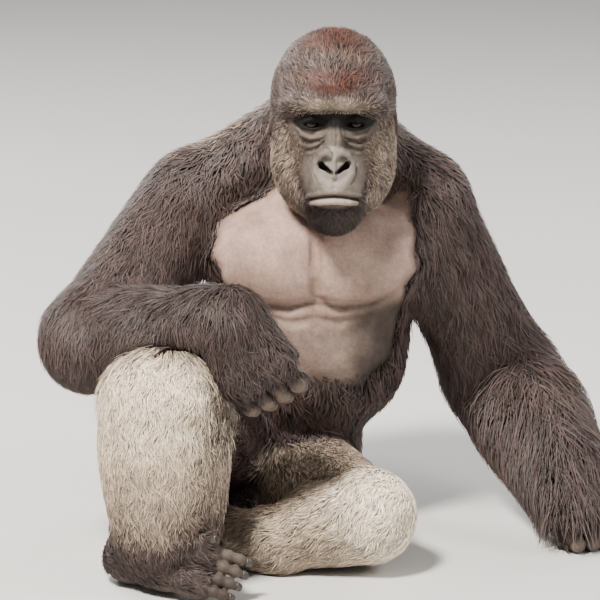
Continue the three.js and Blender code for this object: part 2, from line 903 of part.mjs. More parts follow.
/** A finger or toe from root, bent by curl degrees at each joint. */
function digit(root, { forward, lift, inner }, { lengths, radius, curl, spread = 0 }, scale) {
  const points = [along(root, forward, -8), root];
  let angle = 0;
  lengths.forEach((length, i) => {
    angle += THREE.MathUtils.degToRad(curl[i]);
    const direction = forward
      .clone()
      .multiplyScalar(Math.cos(angle))
      .addScaledVector(lift, -Math.sin(angle))
      .addScaledVector(inner, spread)
      .normalize();
    points.push(along(points[i + 1], direction, length * scale));
  });
  return solid(
    sweep({
      points,
      radii: (t) => {
        const swell = 1 + 0.05 * Math.cos(t * 6 * Math.PI);
        const r = radius * (1 - 0.22 * t) * swell * (t > 0.99 ? 0.62 : 1);
        return [r, r * 0.94];
      },
      guide: inner,
      sides: 7,
      rings: 6,
      blunt: radius * 0.34,
    }),
  );
}

/** Four fingers or toes in a row across the end of a palm or foot. */
function digitRow(row, end, frame, cut, curl) {
  return row.names.map((name, i) => {
    const root = along(end, frame.inner, (i - 1.5) * row.pitch);
    const made = digit(root, frame, { ...row, curl }, row.scale[i]);
    return [name, trim(made, [flipped(cut)])];
  });
}

// ---------------------------------------------------------------------------
// Details of the head
// ---------------------------------------------------------------------------
function head(grow) {
  const shell = solid(
    wrapBall({
      form: within(blend(20, headForm, neckForm), [flipped(THROAT)]),
      centre: inHead(0, 30, -8),
      pole: at(0, -1, -0.22),
      guide: up,
      degrees: FACE_RINGS,
      sides: 34,
      grow,
    }),
  );
  return trim(shell, [flipped(THROAT)], grow);
}

/** A round ridge or groove of the face, along points. */
const faceSweep = (points, radii, rings, blunt) =>
  solid(sweep({ points, radii, guide: up, sides: 6, rings, blunt }));

/** A pair of ellipsoids in the head's own frame, mirrored across its middle. */
const headPair = (x, y, z, size, columns, rows, turn = [0, 0, 0]) =>
  mirrored((way) =>
    solid(pebble(inHead(way * x, y, z), size, columns, rows, [turn[0], way * turn[1], way * turn[2]])),
  );

/** The point of the face in front of (x, z) in the head's own frame, moved out of it. */
function onFace(x, z, out) {
  const start = inHead(x, 0, z);
  const ahead = inHead(x, -1, z).sub(start);
  return along(start, ahead, exit(headForm, start, ahead, HEAD_REACH, 0) + out);
}

/** A line across the mouth, dipped at its corners, that stands out of the face. */
const acrossMouth = (z, out) =>
  [-1, -0.58, 0, 0.58, 1].map((way) => {
    const corner = Math.abs(way) ** 1.6;
    return onFace(way * MOUTH.half, z - corner * MOUTH.dip, out * (1 - 0.6 * corner));
  });

/** The head with lids, nose, lips, nostrils and the line of the mouth. */
function finishedHead() {
  const socket = EYE.radius + GAP;
  const lids = headPair(EYE.x, EYE.y + 1, EYE.z, at(23, 18, 18), 12, 8);
  const openings = headPair(EYE.x, -98, EYE.z - 1, at(15, 22, 6), 10, 6, [0, 4, 0]);
  const sockets = headPair(EYE.x, EYE.y, EYE.z, at(socket, socket, socket), 12, 8);
  const brow = faceSweep(
    BROW.points.map(([x, y, z]) => inHead(x, y, z)),
    (t) => {
      const r = BROW.radius * (0.72 + 0.28 * Math.sin(Math.PI * t));
      return [r * 0.86, r];
    },
    8,
    4,
  );
  const swelling = (size) => (t) => {
    const full = Math.sin(Math.PI * (0.14 + 0.72 * t));
    return [size * full, size * full];
  };
  const folds = mirrored((way) =>
    faceSweep(
      FOLD.points.map(([x, z]) => onFace(way * x, z, FOLD.out)),
      swelling(FOLD.radius),
      5,
      1,
    ),
  );
  const wings = mirrored((way) =>
    faceSweep(
      NOSE_WING.points.map(([x, y, z]) => inHead(way * x, y, z)),
      swelling(NOSE_WING.radius),
      7,
      3,
    ),
  );
  const tip = solid(pebble(inHead(0, -130, -31), at(14, 14, 12), 8, 6));
  const nostrils = headPair(17, -146, -42, at(6, 16, 8.5), 8, 6, [0, 12, 0]);
  const lips = MOUTH.lips.map(([z, size, out]) =>
    faceSweep(acrossMouth(z, out), swelling(size), 9, 2),
  );
  const slit = faceSweep(acrossMouth(MOUTH.line, 2), () => [1.5, 9], 9, 0);
  const features = [brow, ...lids, ...folds, ...wings, tip, ...lips];
  const withFeatures = features.reduce((rest, more) => rest.add(more), head(0));
  return [...openings, ...sockets, ...nostrils, slit].reduce(
    (rest, less) => rest.subtract(less),
    withFeatures,
  );
}

const eyeballs = () =>
  headPair(EYE.x, EYE.y, EYE.z, at(EYE.radius, EYE.radius, EYE.radius), 12, 8);

/** Small ears: shallow cups with a thick rim, open to the front and side. */
function ears() {
  const bowls = headPair(122, 6, 24, at(9, 13, 20), 10, 6, [0, -6, -24]);
  return headPair(111, 14, 22, at(11, 22, 30), 12, 7, [0, -6, -24]).map((cup, i) =>
    cup.subtract(bowls[i]),
  );
}

// ---------------------------------------------------------------------------
// The model
// ---------------------------------------------------------------------------
const surface = (color, roughness) =>
  new THREE.MeshStandardMaterial({ color, roughness, metalness: 0 });
const SURFACES = {
  coat: surface(0x3a3234, 0.9),
  silver: surface(0x9a9389, 0.9),
  hide: surface(0x6d5a55, 0.6),
  eye: surface(0x1c120d, 0.1),
};
const gorilla = new THREE.Group();

/** Adds a node, levelled at the ground. */
function add(name, made, material) {
  const mesh = new THREE.Mesh(geometryOf(largest(made.subtract(GROUND))), material);
  mesh.name = name;
  gorilla.add(mesh);
}

/** made without what the neighbours need, with a narrow gap before them. */
const clearOf = (made, ...neighbours) =>
  neighbours.reduce((rest, neighbour) => rest.subtract(neighbour(PRESS_GAP)), made);

add("pelvis", clearOf(pelvis(0), thigh("left")), SURFACES.coat);
add("abdomen", abdomen(0), SURFACES.coat);
add("chest", clearOf(chest(0), head), SURFACES.hide);
add("neck", neck(0), SURFACES.coat);
const wholeHead = finishedHead();
add("head", wholeHead, SURFACES.coat);
eyeballs().forEach((made, i) => add(`eye_${["right", "left"][i]}`, made, SURFACES.eye));
ears().forEach((made, i) =>
  add(`ear_${["right", "left"][i]}`, clearOf(made.subtract(wholeHead), head), SURFACES.hide),
);

const rightLeg = [thigh("right"), shin("right")];
const CONTACTS = {
  right: {
    upperArm: [chest, ...rightLeg],
    forearm: rightLeg,
    palm: [...rightLeg, abdomen, chest],
    thigh: [abdomen],
    shin: [],
    foot: [],
    bigToe: [shin("right")],
  },
  left: {
    upperArm: [chest, abdomen],
    forearm: [],
    palm: [],
    thigh: [abdomen, thigh("right")],
    shin: [shin("right")],
    foot: [shin("right"), foot("right")],
    bigToe: [],
  },
};
for (const name of ["right", "left"]) {
  const contacts = CONTACTS[name];
  const { wrist, knuckles, heel, ball } = JOINTS[name];
  const { coat, silver, hide } = SURFACES;
  const upper = upperArm(name)(0).add(upperArmLocks(name)(0));
  add(`upper_arm_${name}`, clearOf(upper, ...contacts.upperArm), coat);
  const hanging = forearmLocks(name).subtract(upper);
  const fore = forearm(name)(0).add(clearOf(hanging, upperArm(name), upperArmLocks(name)));
  add(`forearm_${name}`, clearOf(fore, ...contacts.forearm), coat);
  add(`palm_${name}`, clearOf(palm(name)(0), ...contacts.palm), hide);
  const curl = FINGER.curl[name];
  const fingers = digitRow(FINGER, knuckles, HAND[name], PLANES[name].knuckles, curl);
  for (const [finger, made] of fingers) add(`${finger}_finger_${name}`, made, hide);
  const thumbRoot = along(mix(wrist, knuckles, 0.45), HAND[name].inner, 40);
  const thumb = digit(thumbRoot, HAND[name], THUMB, 1);
  add(`thumb_${name}`, thumb.subtract(palm(name)(GAP)), hide);
  add(`thigh_${name}`, clearOf(thigh(name)(0), ...contacts.thigh), silver);
  add(`shin_${name}`, clearOf(shin(name)(0), ...contacts.shin), silver);
  add(`foot_${name}`, clearOf(foot(name)(0), ...contacts.foot), hide);
  const toes = digitRow(TOE, ball, FOOT[name], PLANES[name].toes, TOE.curl);
  for (const [toe, made] of toes) add(`${toe}_toe_${name}`, made, hide);
  const bigToeRoot = along(mix(heel, ball, 0.7), FOOT[name].inner, 36);
  const bigToe = digit(bigToeRoot, FOOT[name], BIG_TOE, 1).subtract(foot(name)(GAP));
  add(`big_toe_${name}`, clearOf(bigToe, ...contacts.bigToe), hide);
}

export default gorilla;
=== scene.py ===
"""A life-size adult male gorilla, sitting: one skin, its coat, eyes and nails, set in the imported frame."""

import logging
import math
from dataclasses import dataclass, field
from enum import Enum
from typing import Callable, Sequence

import bmesh
import bpy
import numpy as np
from mathutils import Euler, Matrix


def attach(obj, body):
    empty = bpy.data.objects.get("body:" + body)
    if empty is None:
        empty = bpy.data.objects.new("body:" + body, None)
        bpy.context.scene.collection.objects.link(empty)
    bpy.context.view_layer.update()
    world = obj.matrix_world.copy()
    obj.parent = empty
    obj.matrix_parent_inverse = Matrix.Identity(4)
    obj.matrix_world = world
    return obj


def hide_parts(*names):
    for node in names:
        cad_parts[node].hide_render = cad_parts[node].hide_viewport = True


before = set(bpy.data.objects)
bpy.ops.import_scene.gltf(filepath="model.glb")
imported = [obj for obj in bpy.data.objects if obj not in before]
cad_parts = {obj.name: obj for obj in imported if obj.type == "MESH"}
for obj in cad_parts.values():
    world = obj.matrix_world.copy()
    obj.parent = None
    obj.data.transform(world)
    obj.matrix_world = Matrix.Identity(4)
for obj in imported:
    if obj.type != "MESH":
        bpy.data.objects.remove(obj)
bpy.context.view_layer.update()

LOG = logging.getLogger("gorilla")
MM = 0.001
BODY = "root"
UV_MAP = "OFBake"

TINY = 1e-12  # keeps a division from zero
NARROW_REACH = 18 * MM  # the reach of a small form beyond its box
FRONT_SEARCH = (-230.0, 0.0)  # y between which a form's front is looked for
HALVINGS = 22

Array = np.ndarray
Mask = Callable[[Array], Array]
Triple = tuple[float, float, float]
Colour = Triple
Line = Sequence[tuple[float, float]]
Rng = np.random.Generator
Mesh = bpy.types.Mesh
Material = bpy.types.Material
Tree = bpy.types.NodeTree
Node = bpy.types.Node
Socket = bpy.types.NodeSocket


def at(x: float, y: float, z: float) -> Array:
    """A point given in millimetres, in metres."""
    return np.array((x, y, z), float) * MM


def unit(v: Array) -> Array:
    """Vectors of length one, along the last axis."""
    return v / np.maximum(np.linalg.norm(v, axis=-1, keepdims=True), TINY)


def mix(a: Array, b: Array, t: float) -> Array:
    """The point a share t of the way from a to b."""
    return a + (b - a) * t


def smooth(x: Array, low: float, high: float) -> Array:
    """A soft step: 0 where x is low or less, and 1 where it is high or more."""
    t = np.clip((x - low) / (high - low), 0.0, 1.0)
    return t * t * (3.0 - 2.0 * t)


def fillet(d: Array, e: Array, width: float) -> Array:
    """What a soft edge of a width in metres adds where two distances are alike."""
    h = np.maximum(width - np.abs(d - e), 0.0) / width
    return h * h * width / 4


def dots(a: Array, b: Array) -> Array:
    """The product of each row of a with the same row of b."""
    return np.einsum("ij,ij->i", a, b)


# ---- Forms ----
class Form:
    """A closed form, known by its signed distance in metres, negative inside."""

    low: Array
    high: Array
    reach = 0.07  # metres beyond its box at which a form no longer matters

    def distance(self, p: Array) -> Array:
        """The signed distance of each point."""
        raise NotImplementedError

    def __call__(self, p: Array) -> Array:
        """The signed distance near the form, and the distance to its box far away.

        Args:
            p: points, one a row.

        Returns:
            A distance for each.
        """
        apart = np.maximum(self.low - p, p - self.high).max(axis=1)
        near = apart < self.reach
        if near.all():
            return self.distance(p)
        if near.any():
            apart[near] = self.distance(p[near])
        return apart

    def slope(self, p: Array, step: float = 0.3 * MM) -> tuple[Array, Array]:
        """Distance and gradient.

        Args:
            p: points, one a row.
            step: how far apart the differences are taken.

        Returns:
            The distances and the gradients.
        """
        count = len(p)
        moved = np.concatenate([p] + [p + step * axis for axis in np.eye(3)])
        d = self(moved)
        return d[:count], (d[count:].reshape(3, count) - d[:count]).T / step


@dataclass(eq=False)
class Limb(Form):
    """A cone with round ends, from radius ra at a to rb at b, radii in millimetres."""

    a: Array
    b: Array
    ra: float
    rb: float

    def __post_init__(self) -> None:
        """Finds the box."""
        self.low = np.minimum(self.a - self.ra * MM, self.b - self.rb * MM)
        self.high = np.maximum(self.a + self.ra * MM, self.b + self.rb * MM)

    def distance(self, p: Array) -> Array:
        """The signed distance of each point."""
        span = self.b - self.a
        d = p - self.a
        t = np.clip(d @ span / (span @ span), 0.0, 1.0)
        off = d - t[:, None] * span
        return np.sqrt(dots(off, off)) - (self.ra + (self.rb - self.ra) * t) * MM


@dataclass(eq=False)
class Egg(Form):
    """An ellipsoid of half axes size in millimetres, turned by degrees."""

    centre: Array
    size: Triple
    degrees: Triple = (0, 0, 0)
    FLATTEST = 1e-6

    def __post_init__(self) -> None:
        """Finds the turn and the box."""
        self.turn = np.array(Euler([math.radians(d) for d in self.degrees]).to_matrix())
        self.axes = np.array(self.size) * MM
        self.low = self.centre - self.axes.max()
        self.high = self.centre + self.axes.max()

    def distance(self, p: Array) -> Array:
        """The signed distance of each point, nearly."""
        q = (p - self.centre) @ self.turn
        near = np.linalg.norm(q / self.axes, axis=1)
        steep = np.linalg.norm(q / self.axes**2, axis=1)
        return near * (near - 1.0) / np.maximum(steep, self.FLATTEST)


class Blend(Form):
    """The union of forms, with fillets about as wide as width, in millimetres."""

    def __init__(self, width: float, *forms: Form) -> None:
        """Takes the forms and finds their box."""
        self.width = width * MM
        self.forms = forms
        self.low = np.min([f.low for f in forms], axis=0)
        self.high = np.max([f.high for f in forms], axis=0)

    def distance(self, p: Array) -> Array:
        """The signed distance of each point."""
        d = self.forms[0](p)
        for form in self.forms[1:]:
            e = form(p)
            d = np.minimum(d, e) - (fillet(d, e, self.width) if self.width else 0.0)
        return d


class Hollow(Form):
    """A form without others, with edges about as soft as width, in millimetres."""

    def __init__(self, width: float, form: Form, *taken: Form) -> None:
        """Takes the form and what is cut from it."""
        self.width = width * MM
        self.form = form
        self.taken = taken
        self.low = form.low
        self.high = form.high

    def distance(self, p: Array) -> Array:
        """The signed distance of each point."""
        d = self.form(p)
        for cut in self.taken:
            e = -cut(p)
            d = np.maximum(d, e) + fillet(d, e, self.width)
        return d


class Placed(Form):
    """A form given in its own frame, set in the world."""

    def __init__(self, form: Form, origin: Array, turn: Array) -> None:
        """Takes the form, the origin of its frame, and the frame's axes as columns."""
        self.form, self.origin, self.turn = form, origin, turn
        half = (form.high - form.low) / 2
        centre = origin + turn @ ((form.high + form.low) / 2)
        self.low, self.high = centre - np.abs(turn) @ half, centre + np.abs(turn) @ half

    def inward(self, p: Array) -> Array:
        """World points in the form's own frame."""
        return (p - self.origin) @ self.turn

    def outward(self, p: Array) -> Array:
        """Points of the form's own frame in the world."""
        return p @ self.turn.T + self.origin

    def distance(self, p: Array) -> Array:
        """The signed distance of each point."""
        return self.form(self.inward(p))


class Inset(Form):
    """A form drawn in by a depth in millimetres that may vary from place to place."""

    def __init__(self, form: Form, depth: Mask | float) -> None:
        """Takes the form and the depth, one number or one for each point."""
        self.form, self.depth = form, depth
        self.low, self.high = form.low, form.high

    def distance(self, p: Array) -> Array:
        """The signed distance of each point."""
        return self.form(p) + (self.depth(p) if callable(self.depth) else self.depth) * MM


class Ground(Form):
    """A form above the level ground."""

    def __init__(self, form: Form, clear: float) -> None:
        """Takes the form and how far it stays above the ground, in metres."""
        self.form, self.clear = form, clear
        self.low, self.high = form.low, form.high

    def distance(self, p: Array) -> Array:
        """The signed distance of each point."""
        return np.maximum(self.form(p), self.clear - p[:, 2])


def local(form: Form) -> Form:
    """The form, left out of account a little way beyond its box."""
    form.reach = NARROW_REACH
    return form


def front_of(form: Form, x: float, z: float, out: float = 0.0) -> Array:
    """The foremost point of a form at (x, z), moved out of it.

    Args:
        form: whose front faces -Y.
        x: millimetres to the animal's left.
        z: millimetres up.
        out: millimetres in front of the form.

    Returns:
        The point, in the form's own frame.
    """
    near, far = FRONT_SEARCH
    for _ in range(HALVINGS):
        middle = (near + far) / 2
        if form(at(x, middle, z)[None])[0] < 0:
            far = middle
        else:
            near = middle
    return at(x, near - out, z)


def chain(points: Sequence[Array], radii: Sequence[float], width: float = 3) -> Blend:
    """A bent round bar through points, with a radius at each."""
    pairs = zip(points[:-1], points[1:], radii[:-1], radii[1:])
    return local(Blend(width, *[local(Limb(a, b, ra, rb)) for a, b, ra, rb in pairs]))


def traced(form: Form, line: Line, radii: Sequence[float], out: float, width: float = 3) -> Blend:
    """A bent round bar along a line of x and z, so many millimetres in front of a form."""
    return chain([front_of(form, x, z, out) for x, z in line], radii, width)


# ---- The animal's own sizes, in millimetres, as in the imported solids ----
class Side(Enum):
    """The animal's own side, with the sign of its x."""

    RIGHT = -1
    LEFT = 1

    @property
    def label(self) -> str:
        """The word used in names."""
        return self.name.lower()


WAYS = (-1, 1)  # signs of x on the two sides
MIDDLE = 98  # x of the middle line of the chest
RIBS_X = 80 * MM
HEAD_CENTRE = at(131, -135, 768)
JOINTS = {
    Side.RIGHT: {
        "shoulder": at(-132, 20, 598),
        "elbow": at(-310, -275, 420),
        "wrist": at(-62, -398, 496),
        "knuckles": at(-2, -444, 398),
        "hip": at(-85, -80, 172),
        "knee": at(-174, -398, 328),
        "ankle": at(-168, -430, 98),
        "heel": at(-232, -396, 44),
        "ball": at(-96, -512, 58),
    },
    Side.LEFT: {
        "shoulder": at(296, 4, 604),
        "elbow": at(460, 122, 252),
        "wrist": at(580, -132, 112),
        "knuckles": at(612, -196, 66),
        "hip": at(72, 5, 118),
        "knee": at(194, -330, 102),
        "ankle": at(6, -322, 56),
        "heel": at(40, -334, 42),
        "ball": at(-112, -250, 44),
    },
}


@dataclass(frozen=True)
class Digit:
    """The sizes of a finger or toe, in millimetres and degrees."""

    lengths: tuple[float, ...]
    radius: float
    curl: tuple[float, ...]
    spread: float = 0.0
    INSIDE = 8  # how far the first joint is inside the hand or foot
    SLIMMER = (1.0, 0.98, 0.9, 0.86, 0.7)
    KNUCKLE = 1.05

    def points(self, root: Array, hand: "Extremity", scale: float = 1.0) -> list[Array]:
        """The joints from the root to the tip.

        Args:
            root: the knuckle.
            hand: the frame of the hand or foot.
            scale: of the lengths.

        Returns:
            The joints, the first a little inside the hand.
        """
        points = [root - hand.forward * self.INSIDE * MM, root]
        angle = 0.0
        for length, bend in zip(self.lengths, self.curl):
            angle += math.radians(bend)
            way = hand.forward * math.cos(angle) - hand.lift * math.sin(angle)
            points.append(points[-1] + unit(way + hand.inner * self.spread) * length * scale * MM)
        return points

    def form(self, points: Sequence[Array]) -> Form:
        """The flesh round the joints, a little thicker at each."""
        radii = [self.radius * k for k in self.SLIMMER[: len(points)]]
        knuckles = [Egg(p, (r * self.KNUCKLE,) * 3) for p, r in zip(points[2:-1], radii[2:-1])]
        return Blend(5, chain(points, radii, 2), *knuckles)


@dataclass(frozen=True)
class Extremity:
    """The frame of a hand or foot."""

    forward: Array
    lift: Array
    inner: Array

    @classmethod
    def facing(cls, side: Side, forward: Array, back: Array) -> "Extremity":
        """The frame whose lift is as near to back as it can, and inner towards the thumb."""
        lift = unit(back - forward * (back @ forward))
        return cls(forward, lift, np.cross(lift, forward) * -side.value)


FINGERS = {
    Side.RIGHT: Digit((54, 38, 24), 14, (28, 62, 52)),
    Side.LEFT: Digit((54, 38, 24), 14, (30, 105, 15)),
}
FINGER_PITCH, FINGER_SCALE = 31, (0.84, 0.96, 1, 0.95)
THUMB = Digit((16, 34, 28), 12.5, (12, 20, 26), 0.3)
TOES = Digit((32, 22, 16), 10.4, (12, 38, 30))
TOE_PITCH, TOE_SCALE = 23, (0.82, 0.92, 1, 1)
BIG_TOE = Digit((16, 34, 26), 15.5, (-24, 4, 8), 0.2)
WRIST = {Side.RIGHT: 52, Side.LEFT: 58}
HAND_BACK = {Side.RIGHT: np.array((-0.05, -1, 0.1)), Side.LEFT: np.array((0.1, -0.4, 1))}
FOOT_BACK = {Side.RIGHT: np.array((-0.47, -0.7, 0.53)), Side.LEFT: np.array((-0.5, -0.69, 0.52))}


class Hand:
    """A hand: palm, four fingers and thumb."""

    def __init__(self, side: Side) -> None:
        """Finds the joints and the forms."""
        j = JOINTS[side]
        self.axis = Extremity.facing(side, unit(j["knuckles"] - j["wrist"]), HAND_BACK[side])
        inner = self.axis.inner * MM
        rays = [
            Limb(mix(j["wrist"], j["knuckles"], 0.1) + inner * k * 20,
                 j["knuckles"] + inner * k * FINGER_PITCH, 32, 21)
            for k in (-1.5, -0.5, 0.5, 1.5)
        ]
        wrist = Limb(mix(j["elbow"], j["wrist"], 0.8), j["wrist"], WRIST[side], WRIST[side] - 4)
        palm = Blend(20, *rays, wrist)
        finger = FINGERS[side]
        self.digits = [
            (finger, finger.points(j["knuckles"] + inner * (i - 1.5) * FINGER_PITCH, self.axis, scale))
            for i, scale in enumerate(FINGER_SCALE)
        ]
        root = mix(j["wrist"], j["knuckles"], 0.45) + inner * 40
        self.digits.append((THUMB, THUMB.points(root, self.axis)))
        self.form = Blend(5, palm, *[digit.form(points) for digit, points in self.digits])


class Foot:
    """A foot: sole, heel, four toes and the thumb-like big toe."""

    def __init__(self, side: Side) -> None:
        """Finds the joints and the forms."""
        j = JOINTS[side]
        self.axis = Extremity.facing(side, unit(j["ball"] - j["heel"]), FOOT_BACK[side])
        inner = self.axis.inner * MM
        wide = inner * TOE_PITCH * 1.4
        sole = Blend(
            24,
            Egg(j["heel"], (40, 42, 42)),
            Limb(j["heel"], j["ball"] + wide, 38, 25),
            Limb(j["heel"], j["ball"] - wide, 38, 22),
            Limb(j["ankle"], mix(j["heel"], j["ball"], 0.45), 56, 46),
        )
        self.digits = [
            (TOES, TOES.points(j["ball"] + inner * (i - 1.5) * TOE_PITCH, self.axis, scale))
            for i, scale in enumerate(TOE_SCALE)
        ]
        root = mix(j["heel"], j["ball"], 0.7) + inner * 36
        self.digits.append((BIG_TOE, BIG_TOE.points(root, self.axis)))
        self.form = Blend(5, sole, *[digit.form(points) for digit, points in self.digits])


class Head:
    """The head in its own frame: origin at its centre, facing -Y."""

    PITCH = 4  # degrees that the face looks up
    EYE = (39, -82, 31)  # the left eye's centre
    EYE_RADIUS = 14.5
    BROW = ((-84, -66, 56), (-58, -89, 66), (-26, -107, 71), (26, -107, 71), (58, -89, 66), (84, -66, 56))
    BROW_RADII = (11, 15, 18, 18, 15, 11)
    FOLDS = (
        ((15, 16), (26, 8), (42, 5), (56, 10), (65, 20)),
        ((21, 3), (32, -7), (46, -11), (59, -7)),
        ((24, -12), (35, -21), (48, -25)),
    )  # x and z of the folds under an eye
    FOLD_RADII = (4.6, 3.2, 2.6)
    CREASES = (
        ((13, 24), (23, 13), (41, 10), (58, 16), (69, 27)),
        ((17, 9), (28, -1), (43, -5), (58, 0)),
        ((19, -2), (29, -14), (42, -19), (54, -17)),
        ((24, -8), (36, -22), (41, -38), (39, -56), (31, -72)),
        ((6, 50), (5, 32), (6, 12), (4, -8)),
        ((14, 42), (14, 24), (17, 6), (20, -6)),
    )  # x and z of the grooves between the folds, beside the nose and on its bridge
    CREASE_RADII = (2.5, 2.1, 1.9, 3.4, 2.3, 2.2)
    WING = (
        (5, -140, -19), (14, -142, -12), (26, -138, -17), (32.5, -131, -33),
        (31, -127, -52), (21, -131, -67), (7, -135, -77),
    )
    WING_RADII = (6.5, 8, 7.5, 6, 6.5, 6.5, 5)
    LIDS = (
        (((-18, -11, 7), (0, -17, 11), (18, -9, 6)), (3, 4.2, 3)),
        (((-16, -12, -6), (0, -14, -9), (16, -9, -6)), (2, 2.8, 2)),
    )  # the fold over an eye and the rim below it, from its centre, with radii
    MOUTH_HALF, MOUTH_DIP, MOUTH_Z = 50, 10, -94
    MOUTH_STEPS = (-1, -0.8, -0.55, -0.28, 0, 0.28, 0.55, 0.8, 1)
    LIP_SWELL = (0.35, 0.65, 0.88, 1, 1, 1, 0.88, 0.65, 0.35)
    SLIT_RADII = (1.4, 2.2, 3.0, 3.3, 3.3, 3.3, 3.0, 2.2, 1.4)
    UPPER_LIP_Z, LOWER_LIP_Z = -88, -102

    def __init__(self) -> None:
        """Builds the forms."""
        angle = math.radians(-self.PITCH)
        turn = np.array(Euler((angle, 0, 0)).to_matrix())
        self.plain = self.face()
        self.coarse = Placed(self.plain, HEAD_CENTRE, turn)
        self.inward, self.outward = self.coarse.inward, self.coarse.outward
        self.fine = Placed(self.detailed(), HEAD_CENTRE, turn)

    @staticmethod
    def pair(make: Callable[[float], Form]) -> list[Form]:
        """A form on each side of the face."""
        return [make(way) for way in WAYS]

    def face(self) -> Form:
        """Skull, muzzle, brow, nose and lids, without the small folds."""
        skull = Blend(
            36,
            Egg(at(0, 15, 66), (116, 124, 127)),
            Egg(at(0, 50, 20), (102, 112, 108)),
            Egg(at(0, 2, -48), (116, 98, 119)),
        )
        muzzle = Blend(
            22,
            Egg(at(0, -80, -82), (56, 62, 54)),
            Egg(at(0, -100, -104), (50, 38, 26)),
            Egg(at(0, -84, -136), (44, 42, 32)),
        )
        brow = chain([at(*p) for p in self.BROW], self.BROW_RADII, 16)
        nose = Blend(
            14, Limb(at(0, -90, 48), at(0, -117, -26), 14, 19), Egg(at(0, -112, -44), (38, 26, 27))
        )
        x, y, z = self.EYE
        sockets = Blend(10, *self.pair(lambda way: Egg(at(way * x, -114, z), (28, 27, 19))))
        lids = self.pair(lambda way: Egg(at(way * x, y + 1, z), (22, 17, 17)))
        whole = Blend(16, Blend(26, skull, muzzle), brow)
        return Blend(12, Hollow(12, whole, sockets), nose, *lids)

    def mouth_line(self, z: float, out: float) -> list[Array]:
        """A line across the mouth, dipped at its corners.

        Args:
            z: its height in the middle.
            out: how far it stands out of the face there.

        Returns:
            Its points.
        """
        points = []
        for way in self.MOUTH_STEPS:
            corner = abs(way) ** 1.8
            dip = corner * self.MOUTH_DIP
            points.append(front_of(self.plain, way * self.MOUTH_HALF, z - dip, out * (1 - 0.6 * corner)))
        return points

    @staticmethod
    def tapered(radius: float, count: int, ends: float) -> list[float]:
        """Radii along a bar that is thinner at its ends, by the share ends."""
        middle = np.sin(np.linspace(0, math.pi, count))
        return list(radius * (ends + (1 - ends) * np.minimum(1.0, 1.3 * middle)))

    def on_both_sides(self, form: Form, lines: Sequence[Line], radii: Sequence[float],
                      out: float, ends: float) -> list[Form]:
        """Tapered bars along lines on both sides of the face.

        Args:
            form: the face.
            lines: x and z of the points of each line, on the left side.
            radii: the radius of each bar in its middle.
            out: millimetres in front of the face.
            ends: the share of that radius at its ends.

        Returns:
            The bars.
        """
        return [
            traced(form, [(way * x, z) for x, z in line], self.tapered(radius, len(line), ends), out)
            for way in WAYS
            for line, radius in zip(lines, radii)
        ]

    @staticmethod
    def nostril(way: float) -> Form:
        """The opening of one nostril: a slanting comma, wide at its outer end."""
        return Blend(
            3,
            Limb(at(way * 6.6, -143, -51), at(way * 15, -145, -44), 4.8, 7.4),
            Limb(at(way * 15, -145, -44), at(way * 24, -140, -36), 7.4, 6.8),
            Limb(at(way * 8.4, -131, -49), at(way * 21, -126, -39), 6.4, 8.6),
        )

    def nose_forms(self) -> list[Form]:
        """The wings, pad, tip and septum of the nose."""
        wings = self.pair(lambda way: chain([at(way * x, y, z) for x, y, z in self.WING], self.WING_RADII))
        pad = local(Egg(at(0, -118, -44), (31, 22, 32)))
        septum = local(Limb(at(0, -142, -26), at(0, -141, -58), 3.2, 4.0))
        return [*wings, pad, septum]

    def lid_forms(self) -> list[Form]:
        """A heavy fold over each eye and a thin rim below it."""
        x, y, z = self.EYE
        folds = []
        for way in WAYS:
            for line, radii in self.LIDS:
                points = [at(way * (x + dx), y + dy, z + dz) for dx, dy, dz in line]
                folds.append(chain(points, radii))
        return folds

    def detailed(self) -> Form:
        """The face with its folds and creases, nose, nostrils, lips, lids and the openings of the eyes."""
        x, y, z = self.EYE
        folds = self.on_both_sides(self.plain, self.FOLDS, self.FOLD_RADII, -1.4, 0.4)
        lips = [
            chain(self.mouth_line(self.UPPER_LIP_Z, -2.4), [4.8 * k for k in self.LIP_SWELL]),
            chain(self.mouth_line(self.LOWER_LIP_Z, 0.0), [6.0 * k for k in self.LIP_SWELL]),
        ]
        solid = Blend(5, self.plain, *folds, *self.nose_forms(), *lips, *self.lid_forms())
        slit = chain(self.mouth_line(self.MOUTH_Z, 2.0), self.SLIT_RADII, 1)
        groove = traced(solid, ((0, -58), (0, -68), (0, -78), (0, -87)), (1.8, 2.8, 2.8, 1.8), 1.2)
        notch = traced(solid, ((0, -4), (0, -14), (0, -24)), (2, 3.6, 2.6), 1.0)
        creases = self.on_both_sides(solid, self.CREASES, self.CREASE_RADII, 0.5, 0.5)
        creased = Hollow(2.6, solid, groove, notch, slit, *creases)
        openings = self.pair(lambda way: local(Egg(at(way * x, y - 17.5, z - 1.5), (17.5, 12.5, 5.4))))
        return Hollow(2.0, creased, *openings, *self.pair(self.nostril))


